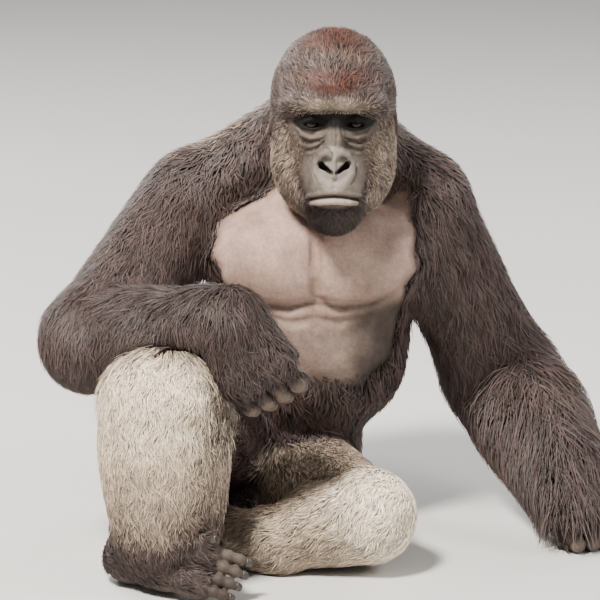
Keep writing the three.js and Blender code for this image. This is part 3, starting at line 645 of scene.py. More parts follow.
class Anatomy:
    """The whole body: its forms, and where its skin is naked."""

    CHEST_LINE = ((640, 6), (590, 9), (520, 11), (462, 11), (410, 5))  # heights and radii of its groove
    CHEST_FOLDS = (
        (((6, 458), (50, 446), (100, 450), (150, 474)), (9, 12, 11, 6)),
        (((4, 424), (40, 416), (84, 426)), (4, 6, 3)),
        (((40, 632), (90, 646), (140, 650)), (3, 6, 3)),
    )  # x from the middle, z and radii of the folds of the chest
    FOLD_OUT = 3
    TRUNK_DEPTH, ARM_DEPTH, LEG_DEPTH, HEAD_DEPTH = 11.0, 7.0, 10.0, 8.0  # of the skin in the coat
    CHEST_LIFT, FACE_LIFT = 10.5, 7.6  # how much less deep the naked skin lies
    SHARE_EDGE = 9 * MM  # how far the parts of the body run into each other
    FAR = 0.2  # metres at which a part has no share

    def __init__(self) -> None:
        """Builds every part's form."""
        self.head = Head()
        self.hands = {side: Hand(side) for side in Side}
        self.feet = {side: Foot(side) for side in Side}
        self.torso = Blend(
            55,
            Egg(at(MIDDLE, 28, 485), (206, 182, 205)),
            Egg(at(MIDDLE, 95, 560), (188, 112, 150)),
            Egg(at(8, -100, 525), (120, 80, 84), (0, 0, -8)),
            Egg(at(188, -100, 525), (120, 80, 84), (0, 0, 8)),
            Egg(at(74, 5, 318), (198, 172, 160)),
            Egg(at(14, 16, 152), (158, 144, 158)),
            Egg(at(-72, 48, 118), (118, 122, 124)),
            Egg(at(84, 72, 110), (98, 118, 118)),
        )
        self.trapezius = Blend(
            40,
            Limb(at(58, 25, 744), at(-112, 20, 632), 70, 78),
            Limb(at(196, 22, 718), at(300, 15, 628), 66, 74),
        )
        self.neck = Limb(at(110, 60, 620), at(130, -45, 800), 128, 106)
        self.arms = {side: self.arm(side) for side in Side}
        self.legs = {Side.RIGHT: self.right_leg(), Side.LEFT: self.left_leg()}
        self.coarse = self.joined(self.head.coarse, False)
        self.fine = self.joined(self.head.fine, True)
        self.parts = self.share_forms()

    def arm(self, side: Side) -> Form:
        """Upper arm and forearm."""
        j = JOINTS[side]
        shoulder, elbow, wrist = j["shoulder"], j["elbow"], j["wrist"]
        right = side is Side.RIGHT
        top, bottom, fore = (100, 80, 64) if right else (88, 80, 84)
        tip = elbow + (at(-10, 8, -30) if right else at(42, 20, -8))
        forms = [
            Limb(shoulder, elbow, top, bottom),
            Limb(elbow, mix(elbow, wrist, 0.45), bottom - 2, fore),
            Limb(mix(elbow, wrist, 0.4), wrist, fore, WRIST[side]),
            Limb(elbow, tip, 66, 54),
        ]
        if not right:
            forms += [
                Limb(elbow + at(-10, -20, -20), wrist + at(-34, 0, -20), 76, 46),
                Limb(shoulder + at(0, -20, -70), elbow + at(-40, -26, 10), 60, 66),
            ]
        return Blend(40, *forms)

    def right_leg(self) -> Form:
        """The raised leg."""
        j = JOINTS[Side.RIGHT]
        hip, knee, ankle = j["hip"], j["knee"], j["ankle"]
        return Blend(
            45,
            Limb(hip, knee, 122, 100),
            Limb(knee + at(-16, 0, -8), knee + at(18, 0, -8), 98, 98),
            Limb(knee, mix(knee, ankle, 0.5), 100, 108),
            Limb(mix(knee, ankle, 0.4), ankle + at(-24, 0, 0), 104, 82),
            Limb(mix(knee, ankle, 0.4), ankle + at(22, 0, 0), 104, 82),
            Limb(knee + at(0, 30, -90), ankle + at(0, 26, 60), 102, 88),
        )

    def left_leg(self) -> Form:
        """The leg that is folded flat."""
        j = JOINTS[Side.LEFT]
        hip, knee, ankle = j["hip"], j["knee"], j["ankle"]
        return Blend(
            40,
            Limb(hip, mix(hip, knee, 0.6), 92, 70),
            Limb(at(10, -40, 108), at(120, -270, 84), 104, 72),
            Limb(mix(hip, knee, 0.5), knee, 70, 85),
            Limb(knee, mix(knee, ankle, 0.5), 84, 70),
            Limb(mix(knee, ankle, 0.4), ankle, 70, 54),
        )

    def joined(self, head: Form, fine: bool) -> Form:
        """The skin as one form, drawn in by the depth of the coat.

        Args:
            head: the head, plain or with its folds.
            fine: whether the creases of chest and belly are cut.

        Returns:
            The form of the skin.
        """
        torso = Inset(self.torso, self.torso_depth)
        if fine:
            torso = self.creased(torso)
        arms = [Inset(self.arms[side], self.ARM_DEPTH) for side in Side]
        trapezius = Inset(self.trapezius, self.TRUNK_DEPTH)
        neck = Inset(self.neck, self.TRUNK_DEPTH)
        trunk = Blend(40, torso, trapezius, neck, *arms)
        upper = Blend(14, trunk, Inset(head, self.head_depth))
        for side in Side:
            upper = Blend(12, upper, self.hands[side].form)
        lower = Blend(40, torso, *[Inset(self.legs[side], self.LEG_DEPTH) for side in Side])
        for side in Side:
            lower = Blend(14, lower, self.feet[side].form)
        return Ground(Blend(0, upper, lower), 0.6 * MM)

    def creased(self, torso: Form) -> Form:
        """The torso with the grooves between its muscles and the folds of its skin."""
        heights, radii = zip(*self.CHEST_LINE)
        groove = traced(torso, [(MIDDLE, z) for z in heights], radii, self.FOLD_OUT, 6)
        folds = [
            traced(torso, [(MIDDLE + way * x, z) for x, z in line], radii, self.FOLD_OUT, 6)
            for way in WAYS
            for line, radii in self.CHEST_FOLDS
        ]
        return Hollow(9, torso, groove, *folds)

    # ---- What covers each place ----
    def bare_chest(self, p: Array) -> Array:
        """1 on the naked skin of chest and belly."""
        x, y, z = (p / MM).T
        heights = (245, 300, 350, 400, 500, 590, 680, 740)
        wide = np.interp(z, heights, (0, 84, 132, 150, 178, 196, 170, 110))
        centre = np.interp(z, (245, 350, 600, 700), (118, 112, 94, 104))
        noise = 5 * np.sin(x / 19 + z / 17) + 4 * np.sin(z / 9 - x / 23)
        low = 0.3 + 0.7 * smooth(z + noise, 285, 355)
        return smooth(wide + noise - np.abs(x - centre), -12, 22) * smooth(-y, 20, 84) * low

    def bare_face(self, p: Array) -> Array:
        """1 on the naked skin of the face."""
        x, y, z = (self.head.inward(p) / MM).T
        eyes = np.hypot(x / 78, (z - 27) / 27)
        muzzle = np.hypot(x / 56, (z + 52) / 74)
        naked = np.maximum(smooth(-eyes, -1.2, -0.84), smooth(-muzzle, -1.26, -0.76))
        return naked * smooth(-y, 40, 66) * smooth(z, -119, -110)

    def torso_depth(self, p: Array) -> Array:
        """How deep the skin of the trunk lies in the coat, in millimetres."""
        return self.TRUNK_DEPTH - self.CHEST_LIFT * self.bare_chest(p)

    def head_depth(self, p: Array) -> Array:
        """How deep the skin of the head lies in the coat, in millimetres."""
        _, y, z = (self.head.inward(p) / MM).T
        front = smooth(-y, 30, 78) * smooth(-z, -112, -84)
        return self.HEAD_DEPTH - self.FACE_LIFT * front

    def share_forms(self) -> dict[str, Form]:
        """One form for each part of the body, to say which part a place belongs to."""
        parts: dict[str, Form] = {
            "head": self.head.coarse,
            "neck": Blend(20, self.neck, self.trapezius),
            "torso": self.torso,
        }
        for side in Side:
            j = JOINTS[side]
            label = side.label
            parts[f"upper_arm_{label}"] = Limb(mix(j["shoulder"], j["elbow"], 0.12), j["elbow"], 94, 76)
            parts[f"forearm_{label}"] = Limb(j["elbow"], j["wrist"], 80, WRIST[side])
            parts[f"hand_{label}"] = self.hands[side].form
            parts[f"thigh_{label}"] = Limb(j["hip"], j["knee"], 112, 92)
            parts[f"shin_{label}"] = Limb(j["knee"], j["ankle"], 94, 76)
            parts[f"foot_{label}"] = self.feet[side].form
        return parts

    def shares(self, p: Array) -> dict[str, Array]:
        """How much each part of the body has of each point.

        Args:
            p: points, one a row.

        Returns:
            For each part a share of every point, which add up to 1.
        """
        near = np.stack([form(p) for form in self.parts.values()])
        weight = np.exp(-np.clip(near - near.min(axis=0), 0, self.FAR) / self.SHARE_EDGE)
        weight /= weight.sum(axis=0)
        return dict(zip(self.parts, weight))


class Markings:
    """Where the coat is silver, chestnut or pale, and where the skin is bare, pink or dark, with painted
    light on the raised leg and painted shade on face, chest, chin and folded thigh.
    """

    def __init__(self, body: Anatomy, p: Array, normal: Array, shares: dict[str, Array]) -> None:
        """Works out each mask at points p with their normals."""
        self.body, self.p, self.normal, self.shares = body, p, normal, shares
        self.local = body.head.inward(p) / MM
        self.mm = p / MM
        self.bare = np.clip(self.bareness(), 0, 1)
        self.silver = np.clip(self.silvered(), 0, 1)
        self.chestnut = self.crown()
        # pale hair, with painted light on the raised leg
        self.pale = self.white_knee()
        # pink, less on the belly and the left chest as painted shade
        self.pink = self.chest_pink()
        # painted shade, and darker hide on hands and feet
        self.dark = self.darkness()
        # painted shade on chin and folded thigh, and darker hair elsewhere
        self.shade = self.gloom()

    def part(self, *names: str) -> Array:
        """The share of several parts together."""
        return sum((self.shares[name] for name in names), np.zeros(len(self.p)))

    def both(self, name: str) -> Array:
        """The share of a part on both sides."""
        return self.part(f"{name}_right", f"{name}_left")

    def bareness(self) -> Array:
        """1 on naked skin."""
        bare = self.part("torso", "neck") * self.body.bare_chest(self.p)
        bare += self.part("head") * self.body.bare_face(self.p)
        for side in Side:
            j = JOINTS[side]
            hand, foot = self.body.hands[side].axis, self.body.feet[side].axis
            past = (self.p - j["knuckles"]) @ hand.forward / MM
            under = -(self.normal @ hand.lift)
            bare += self.shares[f"hand_{side.label}"] * np.maximum(
                smooth(past, 20, 38), smooth(under, 0.1, 0.6)
            )
            past = (self.p - mix(j["heel"], j["ball"], 0.8)) @ foot.forward / MM
            low = smooth(-self.mm[:, 2], -34, -20)
            under = smooth(-(self.normal @ foot.lift), 0.0, 0.5)
            bare += self.shares[f"foot_{side.label}"] * np.maximum.reduce(
                [smooth(past, 38, 58), under, low]
            )
        return bare

    def silvered(self) -> Array:
        """1 on the grey hair of back and legs, and less on cheeks and brow."""
        x, y, z = self.mm.T
        saddle = smooth(y, 40, 110) * smooth(z, 110, 200) * smooth(-z, -740, -540)
        silver = 0.85 * self.part("torso", "neck") * saddle
        silver += self.shares["thigh_right"] * smooth(-x, 64, 112) * (0.55 + 0.4 * smooth(-y, 60, 200))
        # no silver on the top of the folded thigh: painted shade there
        silver += 0.62 * self.shares["thigh_left"] * smooth(-z, -200, -170) * smooth(-y, 40, 150)
        outer = 1 - 0.4 * smooth(x, -150, -85)
        silver += self.shares["shin_right"] * outer * smooth(z, 84, 150) * (0.42 + 0.5 * smooth(z, 110, 340))
        silver += 0.62 * self.shares["shin_left"]
        lap = smooth(-y, 100, 160) * smooth(-z, -196, -166) * smooth(x, -30, 20)
        silver += 0.6 * lap * self.part("torso", "thigh_right")
        silver += 0.3 * self.part("neck") * smooth(y, -30, 60) * smooth(z, 640, 740)
        local_x, local_y, local_z = self.local.T
        cheek = smooth(np.abs(local_x), 42, 80) * smooth(-local_z, -60, 10)
        front = smooth(-local_y, 50, 80)
        # no silver on the chin: painted shade under it
        chin = front * smooth(-local_z, 100, 116) * smooth(-np.abs(local_x), -74, -50)
        band = front * np.exp(-((local_z - 138) / 15) ** 2)
        face = (0.05 + 0.24 * cheek) * (1 - chin) + 0.06 * band + 0.34 * self.brow()
        return silver + self.part("head") * face

    def brow(self) -> Array:
        """1 on the short pale hair of the brow bar."""
        x, y, z = self.local.T
        across = smooth(-np.abs(x), -96, -20)
        return across * smooth(z, 46, 56) * smooth(-z, -88, -66) * smooth(-y, 50, 80)

    def crown(self) -> Array:
        """1 on the chestnut patches of the crown."""
        x, y, z = self.local.T
        front = np.exp(-((x / 48) ** 2) - ((z - 101 - 0.1 * np.abs(x)) / 17) ** 2) * smooth(-y, 20, 60)
        crest = np.exp(-((x / 56) ** 2) - ((z - 166) / 28) ** 2) * smooth(-y, -70, 10)
        return self.part("head") * np.clip(1.25 * front + 0.7 * crest, 0, 1)

    def white_knee(self) -> Array:
        """1 on the almost white hair of the folded knee, and less on the brow; the raised leg, paler at its
        front and top, is painted light.
        """
        knee = JOINTS[Side.LEFT]["knee"]
        near = np.linalg.norm((self.p - knee - at(34, -10, 10)) / MM, axis=1)
        # painted light: the raised leg paler at its top and front
        high = smooth(self.mm[:, 2], 240, 420)
        shin = 0.35 * high * self.shares["shin_right"] + 0.5 * self.shares["thigh_right"]
        lit = smooth(-self.mm[:, 1], 240, 420)
        return np.clip(smooth(-near, -130, -60) + shin * lit + 0.06 * self.part("head") * self.brow(), 0, 1)

    def lip(self) -> Array:
        """1 on the lower lip."""
        head = self.body.head
        radii = head.tapered(5.0, len(head.MOUTH_STEPS), 0.3)
        rim = chain(head.mouth_line(head.LOWER_LIP_Z, 3.0), radii, 1)(self.local * MM) / MM
        return self.part("head") * smooth(-rim, -2.0, 0.5)

    def chest_pink(self) -> Array:
        """1 where the naked skin is pinkish, 0 where it is dark grey; the lower belly and the left of the
        chest are less pink as painted shade.
        """
        x, _, z = self.mm.T
        # painted shade: less pink low on the belly
        high = 0.3 + 0.7 * smooth(z, 380, 470)
        # painted shadow of the head on the left of the chest and flank
        high *= 1 - smooth(x, 120, 215) * (0.3 + 0.65 * smooth(-z, -480, -430))
        pink = self.part("torso", "neck") * high + 0.2 * self.both("hand") + 0.08 * self.both("foot")
        return np.clip(pink + 0.75 * self.lip(), 0, 1)

    def darkness(self) -> Array:
        """1 in nostrils, in the mouth and round the eyes, and less under the chest, on the left flank, on
        hands and feet: painted shade, except on hands and feet, whose hide is darker.
        """
        head = self.body.head
        x, y, z = self.local.T
        q = self.local * MM
        mouth = chain(head.mouth_line(head.MOUTH_Z, 0), [2.2] * len(head.MOUTH_STEPS), 1)(q) / MM
        nostril = np.minimum(*[head.nostril(way)(q) / MM for way in WAYS])
        ex, _, ez = head.EYE
        # painted shade under the brow: the eye sockets and the bridge between them
        socket = np.hypot((np.abs(x) - ex) / 38, (z - ez - 7) / 20)
        bridge = smooth(-np.abs(x), -34, -18) * smooth(z, 18, 30) * smooth(-z, -62, -54)
        # painted shade in the mouth slit and the nostrils
        line = np.maximum(smooth(-mouth, -1.2, 0.6), smooth(-nostril, -1.6, 0.0))
        around = np.maximum(smooth(-socket, -1.12, -0.86), bridge)
        face = self.part("head") * smooth(-y, 50, 70) * np.maximum(line, 0.97 * around)
        x, y, z = self.mm.T
        # painted shade in the fold under the chest
        aside = np.abs(x - MIDDLE)
        height = np.interp(aside, (6, 50, 100, 150), (456, 445, 449, 473))
        fold = np.exp(-(((z - height) / 5) ** 2))
        fold *= smooth(-aside, -160, -110) * smooth(-y, 60, 110)
        # painted shade on the lower left flank, on one side only
        painted_flank_shade = 0.45 * smooth(x, 150, 235) * smooth(-z, -470, -410)
        chest = self.part("torso") * np.maximum(0.6 * fold, painted_flank_shade)
        # hands and feet: darker hide, their own colour
        return face + chest + 0.4 * self.both("foot") + 0.35 * self.both("hand")

    def gloom(self) -> Array:
        """1 where the hair is darkest: on chin, forearms, hands, feet and the folded thigh; on the chin and
        the folded thigh this is painted shade, and the left forearm darkens towards the ground.
        """
        x, y, z = self.local.T
        # painted shade under the chin
        chin = smooth(-y, 30, 60) * smooth(-z, 96, 112) * smooth(-np.abs(x), -80, -56)
        low = smooth(-self.mm[:, 2], -300, -120)
        shade = 0.8 * self.part("head") * chin + 0.45 * self.both("hand") + 0.35 * self.both("foot")
        shade += 0.32 * self.part("forearm_right") + (0.15 + 0.3 * low) * self.part("forearm_left")
        # painted shade on the folded thigh where it is not silver
        return shade + 0.35 * self.part("thigh_left") * (1 - self.silver)

    def wet(self) -> Array:
        """1 on the shiny skin of the nose and lips, which are less rough and have a painted highlight in
        their colour.
        """
        x, y, z = self.local.T
        nose = smooth(-np.hypot(x / 40, (z + 44) / 40), -1.1, -0.85)
        return self.part("head") * np.maximum(nose * smooth(-y, 100, 116), self.lip())


# ---- Meshes ----
@dataclass
class Net:
    """Turns a form into a closed mesh whose points lie on it, finer in one box if wanted."""

    form: Form
    low: Array
    high: Array
    step: float
    close: tuple[Array, Array] | None = None  # corners of the box that is meshed finely
    BLOCK = 4  # cells to a side of the blocks that are looked at first
    NEAR = 1.3  # blocks from the surface that are looked at closely
    BATCH = 4000
    FINER = 4  # small cells to a side of a large one
    CORNERS = np.indices((2, 2, 2)).reshape(3, -1).T

    def values(self) -> Array:
        """The form's distances at the points of a grid, exact near its surface only."""
        blocks = np.ceil((self.high - self.low) / self.step / self.BLOCK).astype(int)
        centres = self.low + (np.indices(blocks).reshape(3, -1).T + 0.5) * self.BLOCK * self.step
        rough = self.form(centres)
        grid = rough.reshape(blocks).astype(np.float32)
        for axis in range(3):
            grid = np.repeat(grid, self.BLOCK, axis=axis)
        near = np.flatnonzero(np.abs(rough) < self.NEAR * self.BLOCK * self.step)
        starts = np.array(np.unravel_index(near, blocks)).T * self.BLOCK
        inner = np.indices((self.BLOCK,) * 3).reshape(3, -1).T
        for some in np.array_split(starts, max(1, len(starts) // self.BATCH)):
            nodes = (some[:, None] + inner).reshape(-1, 3)
            grid[tuple(nodes.T)] = self.form(self.low + nodes * self.step)
        return grid

    def crossed(self, grid: Array) -> tuple[Array, Array]:
        """A point in each cell that the surface passes through.

        Args:
            grid: the distances at the grid's points.

        Returns:
            The points, and for each cell the number of its point or -1.
        """
        inside = grid < 0
        span = [n - 1 for n in grid.shape]
        count = np.zeros(span, np.int8)
        for i, j, k in self.CORNERS:
            count += inside[i : i + span[0], j : j + span[1], k : k + span[2]]
        cells = np.argwhere((count > 0) & (count < 8))
        index = np.full(span, -1, np.int32)
        index[tuple(cells.T)] = np.arange(len(cells))
        values = np.stack([grid[tuple((cells + corner).T)] for corner in self.CORNERS], axis=1)
        total, found = np.zeros((len(cells), 3)), np.zeros(len(cells))
        for a in range(8):
            for b in range(a + 1, 8):
                way = self.CORNERS[b] - self.CORNERS[a]
                if np.abs(way).sum() != 1:
                    continue
                cross = (values[:, a] < 0) != (values[:, b] < 0)
                t = np.where(cross, values[:, a] / (values[:, a] - values[:, b] + 1e-20), 0)
                total += cross[:, None] * (self.CORNERS[a] + t[:, None] * way)
                found += cross
        return self.low + (cells + total / found[:, None]) * self.step, index

    @staticmethod
    def rings(inside: Array) -> tuple[Array, Array]:
        """The four cells round each grid edge that passes through the surface.

        Args:
            inside: which points of the grid are inside the form.

        Returns:
            The cells of each edge, in the order of a face that looks outward, and the edges' starts.
        """
        made, starts = [], []
        for axis in range(3):
            b, c = np.roll(np.eye(3, dtype=int), -axis, axis=0)[1:]
            last = [slice(None)] * 3
            first = [slice(None)] * 3
            last[axis], first[axis] = slice(1, None), slice(None, -1)
            here, there = inside[tuple(first)], inside[tuple(last)]
            edges = np.argwhere(here != there)
            ring = np.stack([edges - s for s in (b + c, c, 0 * b, b)], axis=1)
            outward = here[tuple(edges.T)]
            ring[~outward] = ring[~outward][:, ::-1]
            made.append(ring)
            starts.append(edges)
        return np.concatenate(made), np.concatenate(starts)

    def build(self) -> tuple[Array, Array]:
        """The mesh.

        Returns:
            Its points, and its faces of four points, or of three and -1.
        """
        grid = self.values()
        points, index = self.crossed(grid)
        rings, _ = self.rings(grid < 0)
        within = ((rings >= 0) & (rings < index.shape)).all(axis=(1, 2))
        rings = rings[within]
        if self.close is None:
            return points, index[tuple(np.moveaxis(rings, 2, 0))]
        low = np.floor((self.close[0] - self.low) / self.step).astype(int)
        high = np.ceil((self.close[1] - self.low) / self.step).astype(int)
        apart = ~((rings >= low) & (rings < high)).all(axis=2).any(axis=1)
        faces = [index[tuple(np.moveaxis(rings[apart], 2, 0))]]
        small = self.step / self.FINER
        part = Net(self.form, self.low + low * self.step, self.low + high * self.step + small, small)
        size = (high - low) * self.FINER
        fine = part.values()[: size[0] + 1, : size[1] + 1, : size[2] + 1]
        more, fine_index = part.crossed(fine)
        rings, starts = self.rings(fine < 0)
        inner = ((rings >= 0) & (rings < size)).all(axis=2)
        number = np.empty(rings.shape[:2], np.int64)
        number[inner] = fine_index[tuple(rings[inner].T)] + len(points)
        outer = low + rings[~inner] // self.FINER
        number[~inner] = index[tuple(outer.T)]
        lost = np.flatnonzero((number < 0).any(axis=1))
        points = np.concatenate([points, more])
        if len(lost):
            number, points = self.patched(number, points, rings, starts, low, part)
        faces.append(self.without_doubles(number))
        return points, np.concatenate(faces)

    def patched(self, number: Array, points: Array, rings: Array, starts: Array, low: Array,
                part: "Net") -> tuple[Array, Array]:
        """Adds a point to each large cell that only the small grid sees the surface in.

        Args:
            number: the points of each face, or -1.
            points: those that there are.
            rings: the small cells of each face.
            starts: the grid edge of each face.
            low: the first large cell of the fine box.
            part: the small grid.

        Returns:
            The faces and the points.
        """
        row, column = np.nonzero(number < 0)
        cells = low + rings[row, column] // self.FINER
        _, which = np.unique(cells, axis=0, return_inverse=True)
        which = which.ravel()
        places = part.low + (starts[row] + 0.5) * part.step
        total = np.zeros((which.max() + 1, 3))
        np.add.at(total, which, places)
        number[row, column] = len(points) + which
        return number, np.concatenate([points, total / np.bincount(which)[:, None]])

    @staticmethod
    def without_doubles(number: Array) -> Array:
        """Faces with each point once: those with three end in -1, and those with two go."""
        single = number != np.roll(number, -1, axis=1)
        sides = single.sum(axis=1)
        threes = number[sides == 3][single[sides == 3]].reshape(-1, 3)
        return np.concatenate([number[sides == 4], np.column_stack([threes, np.full(len(threes), -1)])])


def settled(form: Form, points: Array, rounds: int, limit: float | Array) -> tuple[Array, Array]:
    """Moves points onto a form.

    Args:
        form: what they are moved onto.
        points: where they start.
        rounds: how often they are moved.
        limit: longest move of a round, in metres, or one for each point.

    Returns:
        The points and their normals.
    """
    flattest = 0.05
    for _ in range(rounds):
        d, g = form.slope(points)
        move = -g * (d / np.maximum(dots(g, g), flattest))[:, None]
        far = np.linalg.norm(move, axis=1, keepdims=True)
        points = points + move * np.minimum(1.0, np.reshape(limit, (-1, 1)) / np.maximum(far, TINY))
    return points, unit(form.slope(points)[1])


def points_of(mesh: Mesh) -> Array:
    """The places of a mesh's points."""
    points = np.empty(len(mesh.vertices) * 3, np.float32)
    mesh.vertices.foreach_get("co", points)
    return points.reshape(-1, 3).astype(float)


def write_attribute(mesh: Mesh, name: str, values: Array) -> None:
    """Stores a number or a vector at each point of a mesh."""
    kind, key = ("FLOAT", "value") if values.ndim == 1 else ("FLOAT_VECTOR", "vector")
    layer = mesh.attributes.new(name, kind, "POINT")
    layer.data.foreach_set(key, values.astype(np.float32).ravel())


def mesh_from(name: str, points: Array, faces: Array) -> Mesh:
    """A smooth mesh from arrays.

    Args:
        name: of the mesh.
        points: its points.
        faces: the points of its faces, where -1 stands for none.

    Returns:
        The mesh.
    """
    mesh = bpy.data.meshes.new(name)
    used = faces >= 0
    starts = np.cumsum(used.sum(axis=1)) - used.sum(axis=1)
    mesh.vertices.add(len(points))
    mesh.vertices.foreach_set("co", points.astype(np.float32).ravel())
    mesh.loops.add(int(used.sum()))
    mesh.loops.foreach_set("vertex_index", faces[used].astype(np.int32))
    mesh.polygons.add(len(faces))
    mesh.polygons.foreach_set("loop_start", starts.astype(np.int32))
    mesh.update(calc_edges=True)
    mesh.shade_smooth()
    return mesh


def added(name: str, data: bpy.types.ID) -> bpy.types.Object:
    """A new object in the scene."""
    made = bpy.data.objects.new(name, data)
    bpy.context.scene.collection.objects.link(made)
    return made


def placed(mesh: Mesh, material: Material, slot: str, nodes: Sequence[str]) -> None:
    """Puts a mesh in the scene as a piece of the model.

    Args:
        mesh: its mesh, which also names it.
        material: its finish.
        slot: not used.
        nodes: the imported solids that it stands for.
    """
    piece = added(mesh.name, mesh)
    mesh.materials.append(material)
    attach(piece, BODY)
    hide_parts(*nodes)
    LOG.info("%s: %d faces", mesh.name, len(mesh.polygons))


# ---- Finishes ----
class Graph:
    """Adds nodes to a tree, with their inputs set or linked."""

    def __init__(self, tree: Tree) -> None:
        """Takes the tree."""
        self.tree = tree

    def put(self, socket: Socket, value: object) -> None:
        """Links an output to an input, or sets the input's own value."""
        if isinstance(value, Socket):
            self.tree.links.new(value, socket)
        elif isinstance(value, tuple) and socket.type == "RGBA":
            socket.default_value = (*value, 1.0)
        else:
            socket.default_value = value

    def add(self, kind: str, inputs: dict | None = None, **settings: object) -> Node:
        """Adds a node.

        Args:
            kind: its type.
            inputs: for each socket, by name or number, a value or an output to link.
            settings: its own properties.

        Returns:
            The node.
        """
        node = self.tree.nodes.new(kind)
        for name, value in settings.items():
            setattr(node, name, value)
        for key, value in (inputs or {}).items():
            self.put(node.inputs[key], value)
        return node

    def stored(self, name: str, output: str = "Vector") -> Socket:
        """A value that is stored at the points of the mesh."""
        return self.add("ShaderNodeAttribute", attribute_name=name).outputs[output]

    def split(self, vector: Socket) -> Sequence[Socket]:
        """The three numbers of a vector."""
        return self.add("ShaderNodeSeparateXYZ", {0: vector}).outputs

    def place(self) -> Socket:
        """The place on the piece, in its own space."""
        return self.add("ShaderNodeTexCoord").outputs["Object"]

    def bump(self, shader: Node, height: object, strength: float, deep: float) -> None:
        """Makes a height show on a shader, as bumps so many metres deep."""
        node = self.add("ShaderNodeBump", {"Strength": strength, "Distance": deep, "Height": height})
        self.put(shader.inputs["Normal"], node.outputs[0])

    def blend(self, factor: object, a: object, b: object, mode: str = "MIX") -> Socket:
        """A mix of two colours: a where the factor is 0, and b where it is 1."""
        inputs = {0: factor, 6: a, 7: b}
        node = self.add("ShaderNodeMix", inputs, data_type="RGBA", blend_type=mode, clamp_factor=True)
        return node.outputs[2]

    def maths(self, operation: str, *values: object, clamp: bool = False) -> Socket:
        """A sum, product or other number."""
        node = self.add("ShaderNodeMath", dict(enumerate(values)), operation=operation, use_clamp=clamp)
        return node.outputs[0]

    def range(self, value: object, low: float, high: float, start: float = 0.0, end: float = 1.0) -> Socket:
        """A number moved from low and high to start and end, and held there."""
        inputs = {0: value, 1: low, 2: high, 3: start, 4: end}
        return self.add("ShaderNodeMapRange", inputs).outputs[0]

    def noise(self, scale: float, detail: float = 3.0, rough: float = 0.55,
              stretch: Triple | None = None) -> Socket:
        """Noise in the piece's own space.

        Args:
            scale: features to a metre.
            detail: its octaves.
            rough: how strong the small ones are.
            stretch: scale of each axis, if they differ.

        Returns:
            The socket of its value.
        """
        place = self.place()
        if stretch:
            place = self.add("ShaderNodeMapping", {"Vector": place, "Scale": stretch}).outputs[0]
        inputs = {"Vector": place, "Scale": scale, "Detail": detail, "Roughness": rough}
        return self.add("ShaderNodeTexNoise", inputs).outputs[0]


Sockets = Sequence[tuple[str, str]]


def group(name: str, inputs: Sockets, outputs: Sockets) -> tuple[Graph, Node, Node]:
    """A new shader group with its sockets.

    Args:
        name: of the group.
        inputs: name and type of each input.
        outputs: name and type of each output.

    Returns:
        A graph to add to it, and its input and output nodes.
    """
    tree = bpy.data.node_groups.new(name, "ShaderNodeTree")
    for way, sockets in (("INPUT", inputs), ("OUTPUT", outputs)):
        for label, kind in sockets:
            tree.interface.new_socket(label, in_out=way, socket_type=f"NodeSocket{kind}")
    graph = Graph(tree)
    return graph, graph.add("NodeGroupInput"), graph.add("NodeGroupOutput")


@dataclass(frozen=True)
class CoatColours:
    """Colours of the hair, at its root and at its tip, as linear values; the dark roots are partly the
    hair's own colour and partly painted shade deep in the coat.
    """

    root: Colour = (0.012, 0.008, 0.007)
    tip: Colour = (0.082, 0.054, 0.049)
    silver_root: Colour = (0.28, 0.215, 0.16)
    silver_tip: Colour = (0.82, 0.655, 0.48)
    pale_tip: Colour = (0.98, 0.88, 0.71)
    chestnut_root: Colour = (0.018, 0.006, 0.004)
    chestnut_tip: Colour = (0.12, 0.038, 0.023)
    patchiness: Triple = (0.55, 0.5, 0.3)  # of the silver, the chestnut and the pale hair

    def group(self) -> Tree:
        """The markings of the coat, used by the hair and by the skin under it."""
        g, source, sink = group(
            "coat_markings",
            (("Marks", "Vector"), ("Tone", "Float"), ("Along", "Float"), ("Speck", "Float")),
            (("Colour", "Color"),),
        )
        patch = g.maths("SUBTRACT", g.noise(26.0, 4.0), 0.5)
        speck = g.range(source.outputs["Speck"], 0.0, 1.0, -0.26, 0.2)
        has = []
        for mark, amount in zip(g.split(source.outputs["Marks"]), self.patchiness):
            uneven = g.maths("ADD", speck, g.maths("MULTIPLY", patch, amount))
            mask = g.maths("ADD", mark, uneven, clamp=True)
            has.append(g.maths("MULTIPLY", mask, g.range(mark, 0.0, 0.12)))
        along = g.maths("POWER", source.outputs["Along"], 0.85)
        # darker towards the root: partly painted shade deep in the coat
        colour = g.blend(along, self.root, self.tip)
        silver = g.blend(along, self.silver_root, self.silver_tip)
        chestnut = g.blend(along, self.chestnut_root, self.chestnut_tip)
        pale = g.blend(along, self.silver_tip, self.pale_tip)
        for share, other in zip(has, (silver, chestnut, pale)):
            colour = g.blend(share, colour, other)
        tone = g.range(source.outputs["Tone"], 0.0, 1.0, 0.25, 1.85)
        grey = g.add("ShaderNodeCombineXYZ", {0: tone, 1: tone, 2: tone}).outputs[0]
        g.put(sink.inputs["Colour"], g.blend(1.0, colour, grey, "MULTIPLY"))
        return g.tree


@dataclass(frozen=True)
class HideColours:
    """Colours of the naked skin, as linear values."""

    grey: Colour = (0.062, 0.048, 0.039)
    grey_worn: Colour = (0.178, 0.142, 0.114)
    # painted highlight on nose and lips
    shiny: Colour = (0.36, 0.315, 0.275)
    pink: Colour = (0.62, 0.43, 0.35)
    pink_deep: Colour = (0.37, 0.24, 0.195)
    # near black: painted shade, and darker hide on hands, feet and ears
    dark: Colour = (0.006, 0.005, 0.005)
    pores: Colour = (0.35, 0.33, 0.32)


